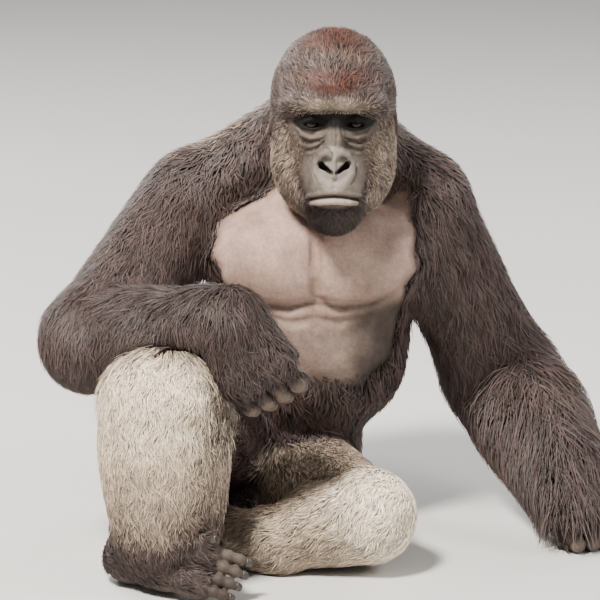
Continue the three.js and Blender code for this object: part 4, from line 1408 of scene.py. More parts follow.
@dataclass(frozen=True)
class SmallColours:
    """Colours of the eyes and the nails, as linear values."""

    pupil: Colour = (0.002, 0.002, 0.002)
    iris: Colour = (0.006, 0.003, 0.002)
    iris_streak: Colour = (0.020, 0.009, 0.005)
    eyeball: Colour = (0.010, 0.006, 0.004)
    nail: Colour = (0.022, 0.018, 0.016)
    nail_worn: Colour = (0.060, 0.050, 0.042)


@dataclass(frozen=True)
class Finish:
    """The plain values of a material."""

    name: str
    roughness: float
    specular: float = 0.5
    sheen: float = 0.0
    coat: float = 0.0

    def start(self) -> tuple[Material, Graph, Node]:
        """A new material.

        Returns:
            The material, a graph to add to it, and its shader.
        """
        material = bpy.data.materials.new(self.name)
        material.use_nodes = True
        shader = material.node_tree.nodes["Principled BSDF"]
        values = {
            "Roughness": self.roughness,
            "Specular IOR Level": self.specular,
            "Sheen Weight": self.sheen,
            "Sheen Roughness": 0.4,
            "Coat Weight": self.coat,
            "Coat Roughness": 0.05,
        }
        for name, value in values.items():
            shader.inputs[name].default_value = value
        return material, Graph(material.node_tree), shader


class Materials:
    """Every finish of the model, made once."""

    WHITE = (1.0, 1.0, 1.0)

    def __init__(self) -> None:
        """Builds the groups and the materials."""
        small = SmallColours()
        self.markings = CoatColours().group()
        self.hair = self.hair_material()
        self.skin = self.skin_material(HideColours())
        self.eye = self.eye_material(small)
        self.nail = self.nail_material(small)

    def marked(self, g: Graph, tone: object, along: object, speck: object) -> Socket:
        """The coat's colour in a material, from the marks stored in the mesh.

        Args:
            g: the material's graph.
            tone: from 0 for dark hair to 1 for light.
            along: from 0 at the root to 1 at the tip.
            speck: a random number.

        Returns:
            The socket of the colour.
        """
        node = g.add("ShaderNodeGroup", node_tree=self.markings)
        inputs = {"Marks": g.stored("marks"), "Tone": tone, "Along": along, "Speck": speck}
        for name, value in inputs.items():
            g.put(node.inputs[name], value)
        return node.outputs["Colour"]

    def hair_material(self) -> Material:
        """The hair of the coat."""
        material, g, shader = Finish("coat_hair", 0.58, specular=0.35).start()
        along, tone, speck = g.split(g.stored("strand"))
        g.put(shader.inputs["Base Color"], self.marked(g, tone, along, speck))
        return material

    def skin_material(self, hide: HideColours) -> Material:
        """The skin: bare hide, and short dark hair where the coat grows.

        Args:
            hide: the colours of the bare hide.

        Returns:
            The material.
        """
        material, g, shader = Finish("gorilla_skin", 0.55, specular=0.24).start()
        bare, pink, dark = g.split(g.stored("cover"))
        wet = g.stored("wet", "Fac")
        large, small = g.noise(14.0, 5.0), g.noise(160.0, 4.0, 0.65)
        grey = g.blend(g.range(large, 0.38, 0.66), hide.grey, hide.grey_worn)
        rosy = g.blend(g.range(large, 0.34, 0.66), hide.pink_deep, hide.pink)
        pores = g.blend(g.range(small, 0.35, 0.7), hide.pores, self.WHITE)
        naked = g.blend(0.4, g.blend(pink, grey, rosy), pores, "MULTIPLY")
        # painted highlight: nose and lips lighter
        naked = g.blend(g.maths("MULTIPLY", wet, 0.55), naked, hide.shiny)
        colour = g.blend(bare, self.marked(g, 0.3, 0.35, 0.5), naked)
        # dark: painted shade in nostrils, mouth, eye sockets and chest creases, and darker hide on hands and
        # feet
        g.put(shader.inputs["Base Color"], g.blend(dark, colour, hide.dark))
        rough = g.range(small, 0.3, 0.7, 0.44, 0.62)
        gloss = g.maths("MULTIPLY", rough, g.range(wet, 0.0, 1.0, 1.0, 0.66))
        gloss = g.maths("MAXIMUM", gloss, g.maths("MULTIPLY", dark, 0.9))
        g.put(shader.inputs["Roughness"], gloss)
        inputs = {"Vector": g.place(), "Scale": 360.0}
        cells = g.add("ShaderNodeTexVoronoi", inputs, feature="DISTANCE_TO_EDGE")
        crease = g.range(cells.outputs[0], 0.0, 0.1)
        hair = g.noise(520.0, 2.0, 0.5, (1.0, 1.0, 0.22))
        smoothed = g.range(wet, 0.0, 1.0, 2.2, 0.8)
        rugged = g.maths("ADD", crease, g.maths("MULTIPLY", small, smoothed))
        g.bump(shader, g.blend(bare, hair, rugged), 0.4, 0.0008)
        return material

    def eye_material(self, colours: SmallColours) -> Material:
        """The eye, coloured by the angle from its axis."""
        material, g, shader = Finish("eye_ball", 0.1, specular=0.3).start()
        angle = g.stored("gaze", "Fac")
        streaks = g.noise(900.0, 3.0)
        iris = g.blend(g.range(streaks, 0.35, 0.65), colours.iris, colours.iris_streak)
        colour = g.blend(g.range(angle, 0.24, 0.29), colours.pupil, iris)
        colour = g.blend(g.range(angle, 0.62, 0.72), colour, colours.eyeball)
        g.put(shader.inputs["Base Color"], colour)
        g.put(shader.inputs["Roughness"], g.range(streaks, 0.3, 0.7, 0.08, 0.16))
        return material

    def nail_material(self, colours: SmallColours) -> Material:
        """The nails: dark horn, a little worn."""
        material, g, shader = Finish("nail_horn", 0.35).start()
        streaks = g.noise(300.0, 3.0)
        colour = g.blend(g.range(streaks, 0.35, 0.65), colours.nail, colours.nail_worn)
        g.put(shader.inputs["Base Color"], colour)
        g.put(shader.inputs["Roughness"], g.range(streaks, 0.3, 0.7, 0.25, 0.45))
        g.bump(shader, streaks, 0.3, 0.0006)
        return material


# ---- Skin ----
PAIRED = (
    "ear", "upper_arm", "forearm", "palm", "thumb", "thigh", "shin", "foot", "big_toe",
    *(f"{name}_finger" for name in ("index", "middle", "ring", "little")),
    *(f"{name}_toe" for name in ("second", "third", "fourth", "fifth")),
)
FLESH = ["abdomen", "chest", "neck", "head", "pelvis"]
FLESH += [f"{part}_{side.label}" for part in PAIRED for side in Side]


@dataclass(repr=False)
class Skin:
    """The one skin of the whole body."""

    body: Anatomy
    step: float = 5.2 * MM
    margin: float = 12 * MM
    FACE = (at(52, -305, 654), at(210, -205, 852))  # the box in which the mesh is finest
    points: Array = field(init=False)
    normals: Array = field(init=False)
    shares: dict[str, Array] = field(init=False)
    marks: Markings = field(init=False)
    triangles: Array = field(init=False)

    def build(self, material: Material) -> None:
        """Meshes the skin, refines it where it has detail, and marks it.

        Args:
            material: its finish.
        """
        form = self.body.fine
        net = Net(form, form.low - self.margin, form.high + self.margin, self.step, self.FACE)
        mesh = mesh_from("skin", *self.crowned_piece(*net.build()))
        mesh = self.refined(mesh, self.near_detail)
        points = points_of(mesh)
        face = ((points > self.FACE[0]) & (points < self.FACE[1])).all(axis=1)
        self.points, self.normals = settled(form, points, 1, np.where(face, 0.5 * MM, 3 * MM))
        fine = self.near_detail(points)
        self.points[fine], self.normals[fine] = settled(form, self.points[fine], 3, 1.6 * MM)
        mesh.vertices.foreach_set("co", self.points.astype(np.float32).ravel())
        mesh.update()
        self.shares = self.body.shares(self.points)
        self.marks = Markings(self.body, self.points, self.normals, self.shares)
        self.triangles = self.triangle_array(mesh)
        m = self.marks
        write_attribute(mesh, "marks", np.stack([m.silver, m.chestnut, m.pale], axis=1))
        # cover: bare, pink with painted shade, and dark with painted shade and darker hide
        write_attribute(mesh, "cover", np.stack([m.bare, m.pink, m.dark], axis=1))
        # gloss of nose and lips, also their painted highlight
        write_attribute(mesh, "wet", m.wet())
        placed(mesh, material, "bare_skin", FLESH)

    @staticmethod
    def triangle_array(mesh: Mesh) -> Array:
        """The mesh's triangles as rows of three points."""
        mesh.calc_loop_triangles()
        corners = np.empty(len(mesh.loop_triangles) * 3, np.int32)
        mesh.loop_triangles.foreach_get("vertices", corners)
        return corners.reshape(-1, 3)

    @staticmethod
    def crowned_piece(points: Array, faces: Array) -> tuple[Array, Array]:
        """Keeps the closed piece that reaches the crown, and drops loose scraps.

        Args:
            points: of the mesh.
            faces: of the mesh.

        Returns:
            The points and faces that are left.
        """
        kept = np.zeros(len(points), bool)
        kept[points[:, 2].argmax()] = True
        corners = np.where(faces < 0, faces[:, :1], faces)
        reached = 0
        while reached < kept.sum():
            reached = kept.sum()
            kept[corners[kept[corners].any(axis=1)]] = True
        index = np.cumsum(kept) - 1
        left = faces[kept[faces[:, 0]]]
        return points[kept], np.where(left < 0, -1, index[left])

    @staticmethod
    def refined(mesh: Mesh, wanted: Mask) -> Mesh:
        """Halves the mesh's edges where wanted.

        Args:
            mesh: the skin.
            wanted: true at the points where it needs more detail.

        Returns:
            The same mesh.
        """
        chosen = wanted(points_of(mesh))
        work = bmesh.new()
        work.from_mesh(mesh)
        edges = [e for e in work.edges if chosen[e.verts[0].index] and chosen[e.verts[1].index]]
        bmesh.ops.subdivide_edges(work, edges=edges, cuts=1, use_grid_fill=True)
        bmesh.ops.triangulate(work, faces=[f for f in work.faces if len(f.verts) > 4])
        work.to_mesh(mesh)
        work.free()
        mesh.shade_smooth()
        return mesh

    def near_detail(self, p: Array) -> Array:
        """True on hands and feet."""
        limbs = (*self.body.hands.values(), *self.body.feet.values())
        return np.any([limb.form(p) < 4 * MM for limb in limbs], axis=0)


@dataclass
class Ears:
    """Two small ears that stand in the hair of the head."""

    body: Anatomy
    place: Triple = (108, 16, 22)
    size: Triple = (11, 22, 30)
    step: float = 1.6 * MM
    margin: float = 4 * MM
    COVER = (1.0, 0.1, 0.5)  # bare, a little pink and rather dark

    def form(self, way: float) -> Form:
        """One ear in the head's own frame: a shallow cup with a rim and a small flap."""
        x, y, z = self.place
        cup = Egg(at(way * x, y, z), self.size, (0, -6 * way, 24 * way))
        bowl = Egg(at(way * (x + 12), y - 8, z + 2), (9, 13, 20), (0, -6 * way, 24 * way))
        inner = Limb(at(way * (x + 5), y + 6, z + 14), at(way * (x + 6), y + 2, z - 12), 3, 4)
        return Blend(2, Hollow(4, cup, bowl), inner)

    def build(self, material: Material) -> None:
        """Both ears.

        Args:
            material: their finish.
        """
        for side in Side:
            form = self.form(side.value)
            points, quads = Net(form, form.low - self.margin, form.high + self.margin, self.step).build()
            points, _ = settled(form, points, 2, MM)
            mesh = mesh_from(f"ear_cup_{side.label}", self.body.head.outward(points), quads)
            write_attribute(mesh, "marks", np.zeros((len(points), 3)))
            write_attribute(mesh, "cover", np.tile(self.COVER, (len(points), 1)))
            placed(mesh, material, "bare_skin", [f"ear_{side.label}"])


@dataclass
class Eyes:
    """The eyeballs, deep under the brow."""

    head: Head
    around: int = 40
    rings: int = 26
    look: Triple = (0.0, -1.0, -0.06)
    bulge: float = 0.055  # how far the cornea stands out, as a share of the radius

    def build(self, material: Material) -> None:
        """Both eyes, which keep at each point its angle from the way they look.

        Args:
            material: their finish.
        """
        axis = unit(np.array(self.look))
        side_way = unit(np.cross(axis, (0, 0, 1.0)))
        up_way = np.cross(side_way, axis)
        angle = np.linspace(0, math.pi, self.rings + 1)[1:-1]
        turn = np.arange(self.around) * 2 * math.pi / self.around
        swell = 1.0 + self.bulge * smooth(-angle, -0.62, -0.3)
        ring = np.cos(turn)[:, None] * side_way + np.sin(turn)[:, None] * up_way
        shell = np.cos(angle)[:, None, None] * axis + np.sin(angle)[:, None, None] * ring
        shell = (shell * swell[:, None, None]).reshape(-1, 3)
        points = np.concatenate([[axis * (1 + self.bulge)], shell, [-axis]]) * self.head.EYE_RADIUS * MM
        gaze = np.concatenate([[0.0], np.repeat(angle, self.around), [math.pi]])
        x, y, z = self.head.EYE
        for side in Side:
            centre = at(side.value * x, y, z)
            mesh = mesh_from(f"eyeball_{side.label}", self.head.outward(points + centre), self.faces())
            write_attribute(mesh, "gaze", gaze)
            placed(mesh, material, "eye", [f"eye_{side.label}"])

    def faces(self) -> Array:
        """The triangles between the rings."""
        n = self.around
        k = np.arange(n)
        after = (k + 1) % n
        rows = [np.stack([0 * k, 1 + k, 1 + after], axis=1)]
        for ring in range(self.rings - 2):
            a, b = 1 + ring * n + k, 1 + ring * n + after
            rows.append(np.stack([a, a + n, b], axis=1))
            rows.append(np.stack([b, a + n, b + n], axis=1))
        last = 1 + (self.rings - 2) * n
        rows.append(np.stack([last + k, 0 * k + last + n, last + after], axis=1))
        return np.concatenate(rows)


@dataclass
class Nails:
    """A nail on each finger and toe."""

    body: Anatomy
    long: float = 1.15  # in radii of the nail
    thick: float = 1.6 * MM
    ground: float = 0.5 * MM
    RADIUS = 0.76  # of its curve, as a share of the digit's radius
    BEND = 1.05  # radians from its middle to its edge
    COLUMNS, ROWS = 9, 8

    def plate(self, digit: Digit, points: Sequence[Array], lift: Array) -> tuple[Array, Array]:
        """One nail: a curved plate let into the end of a digit.

        Args:
            digit: the sizes of the digit.
            points: its joints.
            lift: the way that its back faces.

        Returns:
            Its points and faces.
        """
        radius = digit.radius * self.RADIUS * MM
        forward = unit(points[-1] - points[-2])
        up = unit(lift - forward * (lift @ forward))
        if up @ lift < 0:
            up = -up
        side = np.cross(forward, up)
        count = self.COLUMNS * self.ROWS
        u, v = np.meshgrid(np.linspace(-1, 1, self.COLUMNS), np.linspace(0, 1, self.ROWS), indexing="ij")
        reach = radius * self.long
        angle = u * self.BEND * (1.0 - 0.18 * v**2)
        sheets = []
        for out in (self.thick, -self.thick):
            r = (radius + out) * (1 - 0.1 * v)
            centre = points[-1] - forward * 0.35 * reach
            grid = (
                centre
                + np.multiply.outer(v * reach * 1.5 - 0.1 * reach * u**2, forward)
                + np.multiply.outer(np.sin(angle) * r * 1.02, side)
                + np.multiply.outer(np.cos(angle) * r - 0.02 * reach, up)
            )
            sheets.append(grid.reshape(-1, 3))
        index = np.arange(count).reshape(self.COLUMNS, self.ROWS)
        top = np.stack([index[:-1, :-1], index[1:, :-1], index[1:, 1:], index[:-1, 1:]], -1).reshape(-1, 4)
        rim = np.concatenate([index[:, 0], index[-1, 1:], index[-2::-1, -1], index[0, -2:0:-1]])
        after = np.roll(rim, -1)
        walls = np.stack([rim, rim + count, after + count, after], axis=1)
        return np.concatenate(sheets), np.concatenate([top, top[:, ::-1] + count, walls])

    def build(self, material: Material) -> None:
        """The nails of each hand and foot, as one piece for each.

        Args:
            material: their finish.
        """
        for kind, limbs in (("hand", self.body.hands), ("foot", self.body.feet)):
            for side, limb in limbs.items():
                points, faces, start = [], [], 0
                for digit, joints in limb.digits:
                    forward = unit(joints[-1] - joints[-2])
                    out = limb.axis.lift + limb.axis.forward * (forward @ limb.axis.lift < -0.7)
                    some, quads = self.plate(digit, joints, out)
                    some[:, 2] = np.maximum(some[:, 2], self.ground)
                    points.append(some)
                    faces.append(quads + start)
                    start += len(some)
                mesh = mesh_from(f"nails_{kind}_{side.label}", np.concatenate(points), np.concatenate(faces))
                node = f"palm_{side.label}" if kind == "hand" else f"foot_{side.label}"
                placed(mesh, material, "bare_skin", [node])


# ---- Coat ----
class Strand(Enum):
    """How a tuft is built: the share of its length at which it has rings."""

    SHORT = (0.38,)
    LONG = (0.3, 0.68)


@dataclass(frozen=True)
class CoatPiece:
    """One part of the coat, with sizes in millimetres."""

    name: str
    parts: tuple[str, ...]
    nodes: tuple[str, ...]
    count: int
    length: tuple[float, float]
    width: float
    strand: Strand = Strand.SHORT
    stand: float = 0.3  # rise of the tip, as a share of the length
    sag: float = 0.0  # fall of the tip, as a share of the length
    clump: float = 16.0  # size of the locks that the tufts gather in
    stray: float = 0.3  # radians that a tuft may turn aside
    loft: float = 15.0  # farthest that a tip stands from the skin
    drape: float = 0.0  # how much longer the hair is at the elbow, as a share
    slot: str = "dark_coat"
    seed: int = 1


class Lie:
    """The way that the hair lies at each point of the skin."""

    DOWN = np.array((0.0, 0.0, -1.0))
    FOREARM = {Side.RIGHT: -0.45, Side.LEFT: 0.35}  # how far its hair points to the hand as it hangs
    LIMBS = (
        ("upper_arm", "shoulder", "elbow", 0.5),
        ("forearm", "elbow", "wrist", 1.1),
        ("hand", "wrist", "knuckles", 0.2),
        ("thigh", "hip", "knee", 0.6),
        ("shin", "knee", "ankle", 0.4),
        ("foot", "heel", "ball", 0.2),
    )  # with the joints its hair points from and to, and how much it hangs

    def __init__(self, skin: Skin) -> None:
        """Works out the lie from the joints."""
        self.skin = skin
        self.flow = self.along_body()

    def along_body(self) -> Array:
        """The lie at each point of the skin, in its surface."""
        shares, points = self.skin.shares, self.skin.points
        way = np.zeros_like(points)
        for side in Side:
            j = JOINTS[side]
            label = side.label
            for part, start, end, hang in self.LIMBS:
                pull = self.FOREARM[side] if part == "forearm" else 1.0
                v = pull * unit(j[end] - j[start]) + hang * self.DOWN
                way += shares[f"{part}_{label}"][:, None] * v
            arm = shares[f"upper_arm_{label}"] + shares[f"forearm_{label}"]
            near = arm * smooth(-np.linalg.norm(points - j["elbow"], axis=1) / MM, -150, -80)
            way += near[:, None] * (1.4 * self.DOWN - way)
        aside = (points[:, 0] - RIBS_X) / MM
        outward = np.stack([aside / 500, 0 * aside, 0 * aside - 1.0], axis=1)
        way += (shares["torso"] + shares["neck"])[:, None] * outward
        way += shares["head"][:, None] * self.on_head()
        way -= self.skin.normals * dots(way, self.skin.normals)[:, None]
        return unit(way + 1e-6 * self.DOWN)

    def on_head(self) -> Array:
        """Up and apart from the brow over the crown, and down over the cheeks."""
        x, y, z = (self.skin.body.head.inward(self.skin.points) / MM).T
        high = smooth(z, 20, 84)[:, None]
        crown = np.stack([x / 70, 0.5 + 0 * x, 0.9 + 0 * x], axis=1)
        back = smooth(y, 10, 90)[:, None]
        crown = crown * (1 - back) + np.stack([0 * x, 0.6 + 0 * x, -1.0 + 0 * x], axis=1) * back
        cheek = np.stack([x / 260, 0.45 + 0 * x, -1.0 + 0 * x], axis=1)
        return unit(crown) * high + unit(cheek) * (1 - high)


@dataclass
class Roots:
    """The places on the skin where the tufts of one piece grow, one a row."""

    place: Array
    normal: Array
    way: Array  # the lie of the hair
    # the last mark: painted shade on chin and folded thigh, and darker hair
    mark: Array  # silver, chestnut, pale and dark
    face: Array  # the triangle of the skin
    length: Array  # of the tuft in metres


class Coat:
    """Scatters tufts over the skin and builds them as solid meshes."""

    GROUND = 2 * MM  # the lowest place of the hair
    WAVES = (((61.0, 47.0, 83.0), 1.0, 0.35), ((-113.0, 131.0, 97.0), 2.0, 0.25))
    SECTION = ((0.5, 0.0), (-0.5, 0.0), (0.0, 0.42))  # of a tuft, in widths
    PROFILE = {1: (1.0,), 2: (1.0, 0.72)}  # the width of each ring, by their number
    CELLS = 0x10000
    PRIMES = (73856093, 19349663, 83492791)
    ROOT_DEPTH = 1.5 * MM
    PATCH = 0.003  # of the unwrap, for one tuft

    def __init__(self, skin: Skin, material: Material) -> None:
        """Takes the skin and the hair's finish."""
        self.skin, self.material = skin, material
        self.flow = Lie(skin).flow
        t = skin.triangles
        a, b, c = (skin.points[t[:, k]] for k in range(3))
        self.area = np.linalg.norm(np.cross(b - a, c - a), axis=1) / 2
        self.hairy = 1.0 - skin.marks.bare

    def over(self, values: Array, faces: Array, weights: Array) -> Array:
        """Values of the skin's points at places on its faces."""
        corner = values[self.skin.triangles[faces]]
        shape = (len(faces), 3) + (1,) * (values.ndim - 1)
        return (corner * weights.reshape(shape)).sum(axis=1)

    def build(self, piece: CoatPiece) -> None:
        """Scatters the roots of one piece over the skin, and grows its tufts.

        Args:
            piece: its place and sizes.
        """
        rng = np.random.default_rng(piece.seed)
        skin = self.skin
        share = sum(skin.shares[name] for name in piece.parts)
        cover = share * smooth(self.hairy, 0.2, 0.75)
        thinnest = 0.02
        weight = self.area * cover[skin.triangles].mean(axis=1) ** 1.2
        weight[weight < thinnest * self.area] = 0
        steps = np.cumsum(weight)
        spots = (np.arange(piece.count) + rng.random(piece.count)) / piece.count * steps[-1]
        faces = np.minimum(np.searchsorted(steps, spots), len(steps) - 1)
        ab = rng.random((piece.count, 2))
        ab[ab.sum(axis=1) > 1] = 1 - ab[ab.sum(axis=1) > 1]
        weights = np.column_stack([1 - ab.sum(axis=1), ab])
        place = self.over(skin.points, faces, weights)
        length = self.lengths(piece, place, self.over(self.hairy, faces, weights), rng)
        m = skin.marks
        roots = Roots(
            place=place,
            normal=unit(self.over(skin.normals, faces, weights)),
            way=unit(self.over(self.flow, faces, weights)),
            mark=self.over(np.stack([m.silver, m.chestnut, m.pale, m.shade], axis=1), faces, weights),
            face=faces,
            length=length,
        )
        self.tufts(piece, roots, rng)

    def lengths(self, piece: CoatPiece, root: Array, hairy: Array, rng: Rng) -> Array:
        """The length of each tuft, shorter near bare skin and on the face.

        Args:
            piece: the sizes.
            root: where each tuft grows.
            hairy: 1 on full coat and 0 on bare skin.
            rng: the source of its random numbers.

        Returns:
            The lengths in metres.
        """
        low, high = piece.length
        length = (low + (high - low) * rng.random(len(root))) * MM
        length *= 0.35 + 0.65 * smooth(hairy, 0.2, 1.0)
        if piece.parts == ("head",):
            x, y, z = (self.skin.body.head.inward(root) / MM).T
            face = np.hypot(x / 92, (z - 8) / 104)
            length *= 0.3 + 0.7 * smooth(np.where(y < 0, face, 2.0), 0.6, 1.25)
            length *= 1 + 0.4 * smooth(z, 130, 170)
        for side in Side:
            if piece.drape and side.label in piece.name:
                elbow = np.linalg.norm(root - JOINTS[side]["elbow"], axis=1) / MM
                length *= 1 + piece.drape * smooth(-elbow, -230, -90)
        return length

    def tufts(self, piece: CoatPiece, roots: Roots, rng: Rng) -> None:
        """Builds the tufts at their roots.

        Args:
            piece: the sizes.
            roots: where the tufts grow.
            rng: the source of its random numbers.
        """
        count, root, normal = len(roots.place), roots.place, roots.normal
        wave = sum(size * np.sin(root @ np.array(k) + start) for k, start, size in self.WAVES)
        turn = (wave + piece.stray * rng.standard_normal(count))[:, None]
        roots.way = unit(roots.way * np.cos(turn) + np.cross(normal, roots.way) * np.sin(turn))
        across = np.cross(normal, roots.way)
        lock, tone = self.locks(root, piece.clump, rng)
        pull = lock - root
        for axis in (normal, roots.way):
            pull -= axis * dots(pull, axis)[:, None]
        stand = piece.stand * (0.6 + 0.8 * rng.random(count))
        rings = piece.strand.value
        line = self.line(piece, roots, pull, stand)
        width = piece.width * MM * (0.7 + 0.6 * rng.random(count))
        width *= np.clip(roots.length / (piece.length[1] * MM) * 1.6, 0.45, 1.0)
        points, normals, along = [line[0]], [normal], [0.0]
        for t, size, middle in zip(rings, self.PROFILE[len(rings)], line[1:-1]):
            for sideways, up in self.SECTION:
                aside = across * (sideways * size * width)[:, None]
                points.append(middle + aside + normal * (up * size * width)[:, None])
                normals.append(unit(normal + across * sideways * 1.1))
                along.append(t)
        points = np.stack([*points, line[-1]], axis=1)
        points[..., 2] = np.maximum(points[..., 2], self.GROUND)
        normals = np.stack([*normals, normal], axis=1)
        along = np.tile([*along, 1.0], (count, 1))
        corners = points.shape[1]
        index = self.template(len(rings))
        triangles = (np.arange(count)[:, None, None] * corners + index).reshape(-1, 3)
        mesh = mesh_from(piece.name, points.reshape(-1, 3), triangles)
        silver, shade = roots.mark[:, 0], roots.mark[:, 3]
        # tone darkened by painted shade and darker hair
        tone = np.clip(tone + 0.28 * rng.standard_normal(count), 0, 1) * (1 - 0.8 * shade)
        tone += (0.5 - tone) * 0.45 * np.clip(silver, 0, 1)
        speck = rng.random(count)
        each = [np.repeat(values[:, None], corners, axis=1) for values in (tone, speck)]
        write_attribute(mesh, "strand", np.stack([along, *each], axis=-1).reshape(-1, 3))
        write_attribute(mesh, "marks", np.repeat(roots.mark[:, :3], corners, axis=0))
        self.unwrap(mesh, piece, roots, along)
        mesh.normals_split_custom_set_from_vertices(normals.reshape(-1, 3))
        placed(mesh, self.material, piece.slot, piece.nodes)

    @staticmethod
    def template(rings: int) -> Array:
        """The triangles of one tuft with so many rings of three points."""
        faces = [(0, 1 + (k + 1) % 3, 1 + k) for k in range(3)]
        for ring in range(rings - 1):
            for k in range(3):
                a, b = 1 + 3 * ring + k, 1 + 3 * ring + (k + 1) % 3
                faces += [(a, b, a + 3), (b, b + 3, a + 3)]
        last, tip = 1 + 3 * (rings - 1), 1 + 3 * rings
        faces += [(last + k, last + (k + 1) % 3, tip) for k in range(3)]
        return np.array(faces)[:, ::-1]

    @staticmethod
    def locks(root: Array, size: float, rng: Rng) -> tuple[Array, Array]:
        """The lock that each tuft belongs to.

        Args:
            root: where each tuft grows.
            size: of the locks in millimetres.
            rng: the source of its random numbers.

        Returns:
            The middle and the tone of each tuft's lock.
        """
        cell = np.floor(root / (size * MM)).astype(np.int64)
        key = (cell * np.array(Coat.PRIMES)).sum(axis=1) % Coat.CELLS
        offset = rng.random((Coat.CELLS, 3))[key]
        tone = rng.random(Coat.CELLS)[key]
        return (cell + 0.2 + 0.6 * offset) * size * MM, 0.3 + 0.4 * tone

    def line(self, piece: CoatPiece, roots: Roots, pull: Array, stand: Array) -> list[Array]:
        """The middle lines of tufts, which follow the skin, rise from it and sag.

        Args:
            piece: the sizes.
            roots: where the tufts grow.
            pull: from each root towards the middle of its lock.
            stand: how steeply each tuft rises.

        Returns:
            The tufts' points at the root, at each ring and at the tip.
        """
        shares = (0.0, *piece.strand.value, 1.0)
        spot, heading, length = roots.place, roots.way, roots.length
        line = [spot - roots.normal * self.ROOT_DEPTH]
        for before, t in zip(shares[:-1], shares[1:]):
            spot = spot + heading * (length * (t - before))[:, None]
            spot = spot + pull * (0.6 * (t**1.2 - before**1.2))
            spot = spot + Lie.DOWN * (length * piece.sag * (t * t - before * before))[:, None]
            d, g = self.skin.body.coarse.slope(spot)
            up = unit(g)
            rise = 0.9 * length * stand * (1 - (1 - t) ** 2)
            rise = np.clip(rise, (0.8 + 0.5 * t) * MM, piece.loft * (0.25 + 0.75 * t) * MM)
            spot = spot + up * (rise - d)[:, None]
            heading = heading - up * dots(heading, up)[:, None]
            heading = unit(heading + Lie.DOWN * piece.sag * t)
            line.append(spot)
        return line

    def unwrap(self, mesh: Mesh, piece: CoatPiece, roots: Roots, along: Array) -> None:
        """Gives each tuft a small patch at its root's place on an unwrap of the skin.

        Args:
            mesh: of the piece.
            piece: the parts of the body that it covers.
            roots: where the tufts grow.
            along: from 0 at the root to 1 at the tip, for each point.
        """
        first = self.skin.triangles[roots.face, 0]
        owner = np.stack([self.skin.shares[name][first] for name in piece.parts]).argmax(axis=0)
        uv = np.empty((len(first), 2))
        for i, part in enumerate(piece.parts):
            mine = owner == i
            if not mine.any():
                continue
            form = self.skin.body.parts[part]
            centre = (form.low + form.high) / 2
            axis = unit(form.b - form.a) if isinstance(form, Limb) else np.array((0.0, 0.0, 1.0))
            u = unit(np.cross(axis, (0.31, 0.9, 0.2)))
            v = np.cross(axis, u)
            d = roots.place[mine] - centre
            turn = np.arctan2(d @ v, d @ u) / (2 * math.pi) + 0.5
            high = d @ axis
            high = (high - high.min()) / max(np.ptp(high), 1e-9)
            uv[mine] = np.column_stack([(i + 0.02 + 0.96 * turn) / len(piece.parts), 0.01 + 0.97 * high])
        corners = along.shape[1]
        spread = np.zeros((corners, 2))
        spread[1:-1, 0] = np.tile((-0.5, 0.5, 0.0), (corners - 2) // 3) * self.PATCH
        per_corner = uv[:, None] + spread
        per_corner[..., 1] += along * self.PATCH
        layer = mesh.uv_layers.new(name=UV_MAP)
        corner_of = np.empty(len(mesh.loops), np.int32)
        mesh.loops.foreach_get("vertex_index", corner_of)
        layer.uv.foreach_set("vector", per_corner.reshape(-1, 2)[corner_of].astype(np.float32).ravel())


def limb_coat(part: str, count: int, length: tuple[float, float], width: float,
              seed: int, **sizes: object) -> CoatPiece:
    """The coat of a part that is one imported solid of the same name."""
    return CoatPiece(f"coat_{part}", (part,), (part,), count, length, width, seed=seed, **sizes)


SILVER = {"stand": 0.22, "clump": 7, "stray": 0.24, "slot": "silver_coat"}
HANGING = {"stand": 0.26, "clump": 16, "stray": 0.28}
COAT = (
    limb_coat("head", 30000, (15, 24), 1.8, 11, stand=0.34, clump=8, loft=15),
    limb_coat("neck", 13000, (26, 40), 3.4, 12, stand=0.34, clump=14),
    CoatPiece("coat_back", ("torso",), ("chest", "abdomen", "pelvis"), 25000, (30, 46), 4.0,
              clump=18, seed=13),
    limb_coat("upper_arm_right", 23000, (34, 56), 2.3, 14, stand=0.24, sag=0.12, clump=16, stray=0.24,
              loft=20),
    limb_coat("upper_arm_left", 23000, (36, 60), 2.5, 15, sag=0.12, loft=26, drape=0.7, **HANGING),
    limb_coat("forearm_right", 22000, (32, 56), 2.3, 16, sag=0.15, loft=22, **HANGING),
    limb_coat("forearm_left", 15000, (56, 110), 2.9, 17, strand=Strand.LONG, stand=0.34, sag=0.35,
              clump=24, stray=0.48, loft=34, drape=-0.3),
    CoatPiece("coat_hands", ("hand_right", "hand_left"), ("palm_right", "palm_left"), 8000, (22, 38),
              2.6, clump=12, seed=18),
    limb_coat("thigh_right", 16000, (14, 24), 2.2, 19, **SILVER),
    limb_coat("thigh_left", 13000, (15, 25), 2.4, 20, **SILVER),
    limb_coat("shin_right", 23000, (14, 23), 2.1, 21, **SILVER),
    limb_coat("shin_left", 13000, (15, 25), 2.3, 22, **SILVER),
    CoatPiece("coat_feet", ("foot_right", "foot_left"), ("foot_right", "foot_left"), 8000, (16, 30),
              2.3, clump=9, seed=23),
)


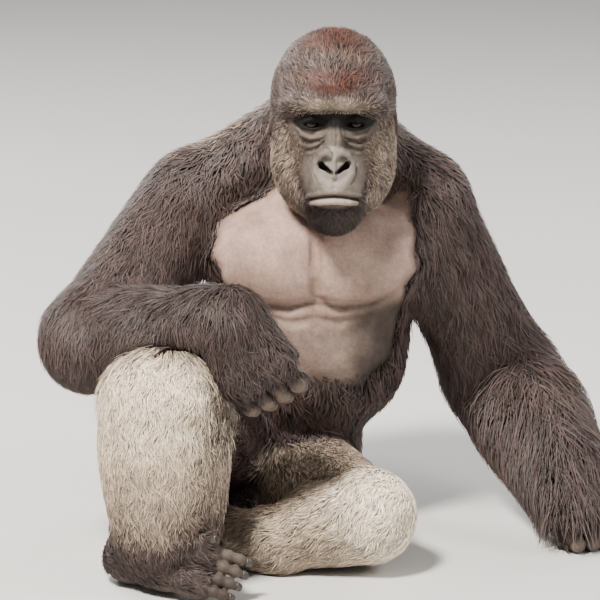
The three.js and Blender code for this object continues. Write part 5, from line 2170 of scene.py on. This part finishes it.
# ---- Studio ----
@dataclass
class Studio:
    """Floor, lights and camera."""

    target: Triple = (0.070, -0.10, 0.4485)
    elevation: float = 14.0
    distance: float = 7.0
    lens: float = 227.03
    floor_size: float = 60.0
    sky_colour: Colour = (0.93, 0.95, 1.0)
    sky_strength: float = 0.27
    FLOOR = ((0.60, 0.59, 0.57), (0.64, 0.63, 0.61))
    LIGHTS = (
        ("key", (-1.9, -2.9, 5.2), 1.1, 980.0, (1.0, 0.95, 0.88)),
        ("fill", (4.8, -1.6, 3.6), 2.4, 210.0, (1.0, 0.97, 0.94)),
        ("rim_left", (-3.2, 3.2, 3.2), 1.6, 260.0, (1.0, 0.98, 0.95)),
        ("rim_right", (3.4, 3.0, 2.6), 1.8, 110.0, (1.0, 0.98, 0.95)),
    )  # name, place, size in metres, watts and colour

    def build(self) -> None:
        """Sets up the whole studio."""
        self.floor()
        for values in self.LIGHTS:
            self.light(*values)
        self.sky()
        self.camera()

    def floor(self) -> None:
        """A plain pale floor."""
        half = self.floor_size / 2
        points = np.array(((-half, -half, 0), (half, -half, 0), (half, half, 0), (-half, half, 0)))
        mesh = mesh_from("floor", points, np.array(((0, 1, 2, 3),)))
        material, g, shader = Finish("floor_paint", 0.8, specular=0.2).start()
        g.put(shader.inputs["Base Color"], g.blend(g.noise(0.8), *self.FLOOR))
        mesh.materials.append(material)
        added("floor", mesh)

    def light(self, name: str, place: Triple, size: float, power: float, colour: Colour) -> None:
        """A soft square light that faces the animal.

        Args:
            name: of the light.
            place: where it stands.
            size: of its side in metres.
            power: in watts.
            colour: of its light.
        """
        data = bpy.data.lights.new(name, "AREA")
        data.shape, data.size, data.energy, data.color = "SQUARE", size, power, colour
        lamp = added(name, data)
        lamp.location = place
        way = np.array(self.target) - np.array(place)
        flat = math.hypot(way[0], way[1])
        lamp.rotation_euler = (math.atan2(flat, -way[2]), 0.0, math.atan2(way[1], way[0]) - math.pi / 2)

    def sky(self) -> None:
        """Even pale light from all round."""
        world = bpy.data.worlds.new("studio_air")
        world.use_nodes = True
        back = world.node_tree.nodes["Background"]
        back.inputs["Color"].default_value = (*self.sky_colour, 1.0)
        back.inputs["Strength"].default_value = self.sky_strength
        bpy.context.scene.world = world

    def camera(self) -> None:
        """The camera, a little above the animal and far off."""
        data = bpy.data.cameras.new("camera")
        data.lens, data.sensor_width = self.lens, 36.0
        data.dof.use_dof = False
        camera = added("camera", data)
        angle = math.radians(self.elevation)
        x, y, z = self.target
        camera.location = (x, y - self.distance * math.cos(angle), z + self.distance * math.sin(angle))
        camera.rotation_euler = (math.radians(90.0 - self.elevation), 0.0, 0.0)
        bpy.context.scene.camera = camera


def main() -> None:
    """Builds the animal and the studio."""
    logging.basicConfig(level=logging.INFO, format="%(relativeCreated)d ms %(message)s")
    Studio().build()
    materials = Materials()
    body = Anatomy()
    skin = Skin(body)
    skin.build(materials.skin)
    Ears(body).build(materials.skin)
    Eyes(body.head).build(materials.eye)
    Nails(body).build(materials.nail)
    coat = Coat(skin, materials.hair)
    for piece in COAT:
        coat.build(piece)


if __name__ == "__main__":
    main()
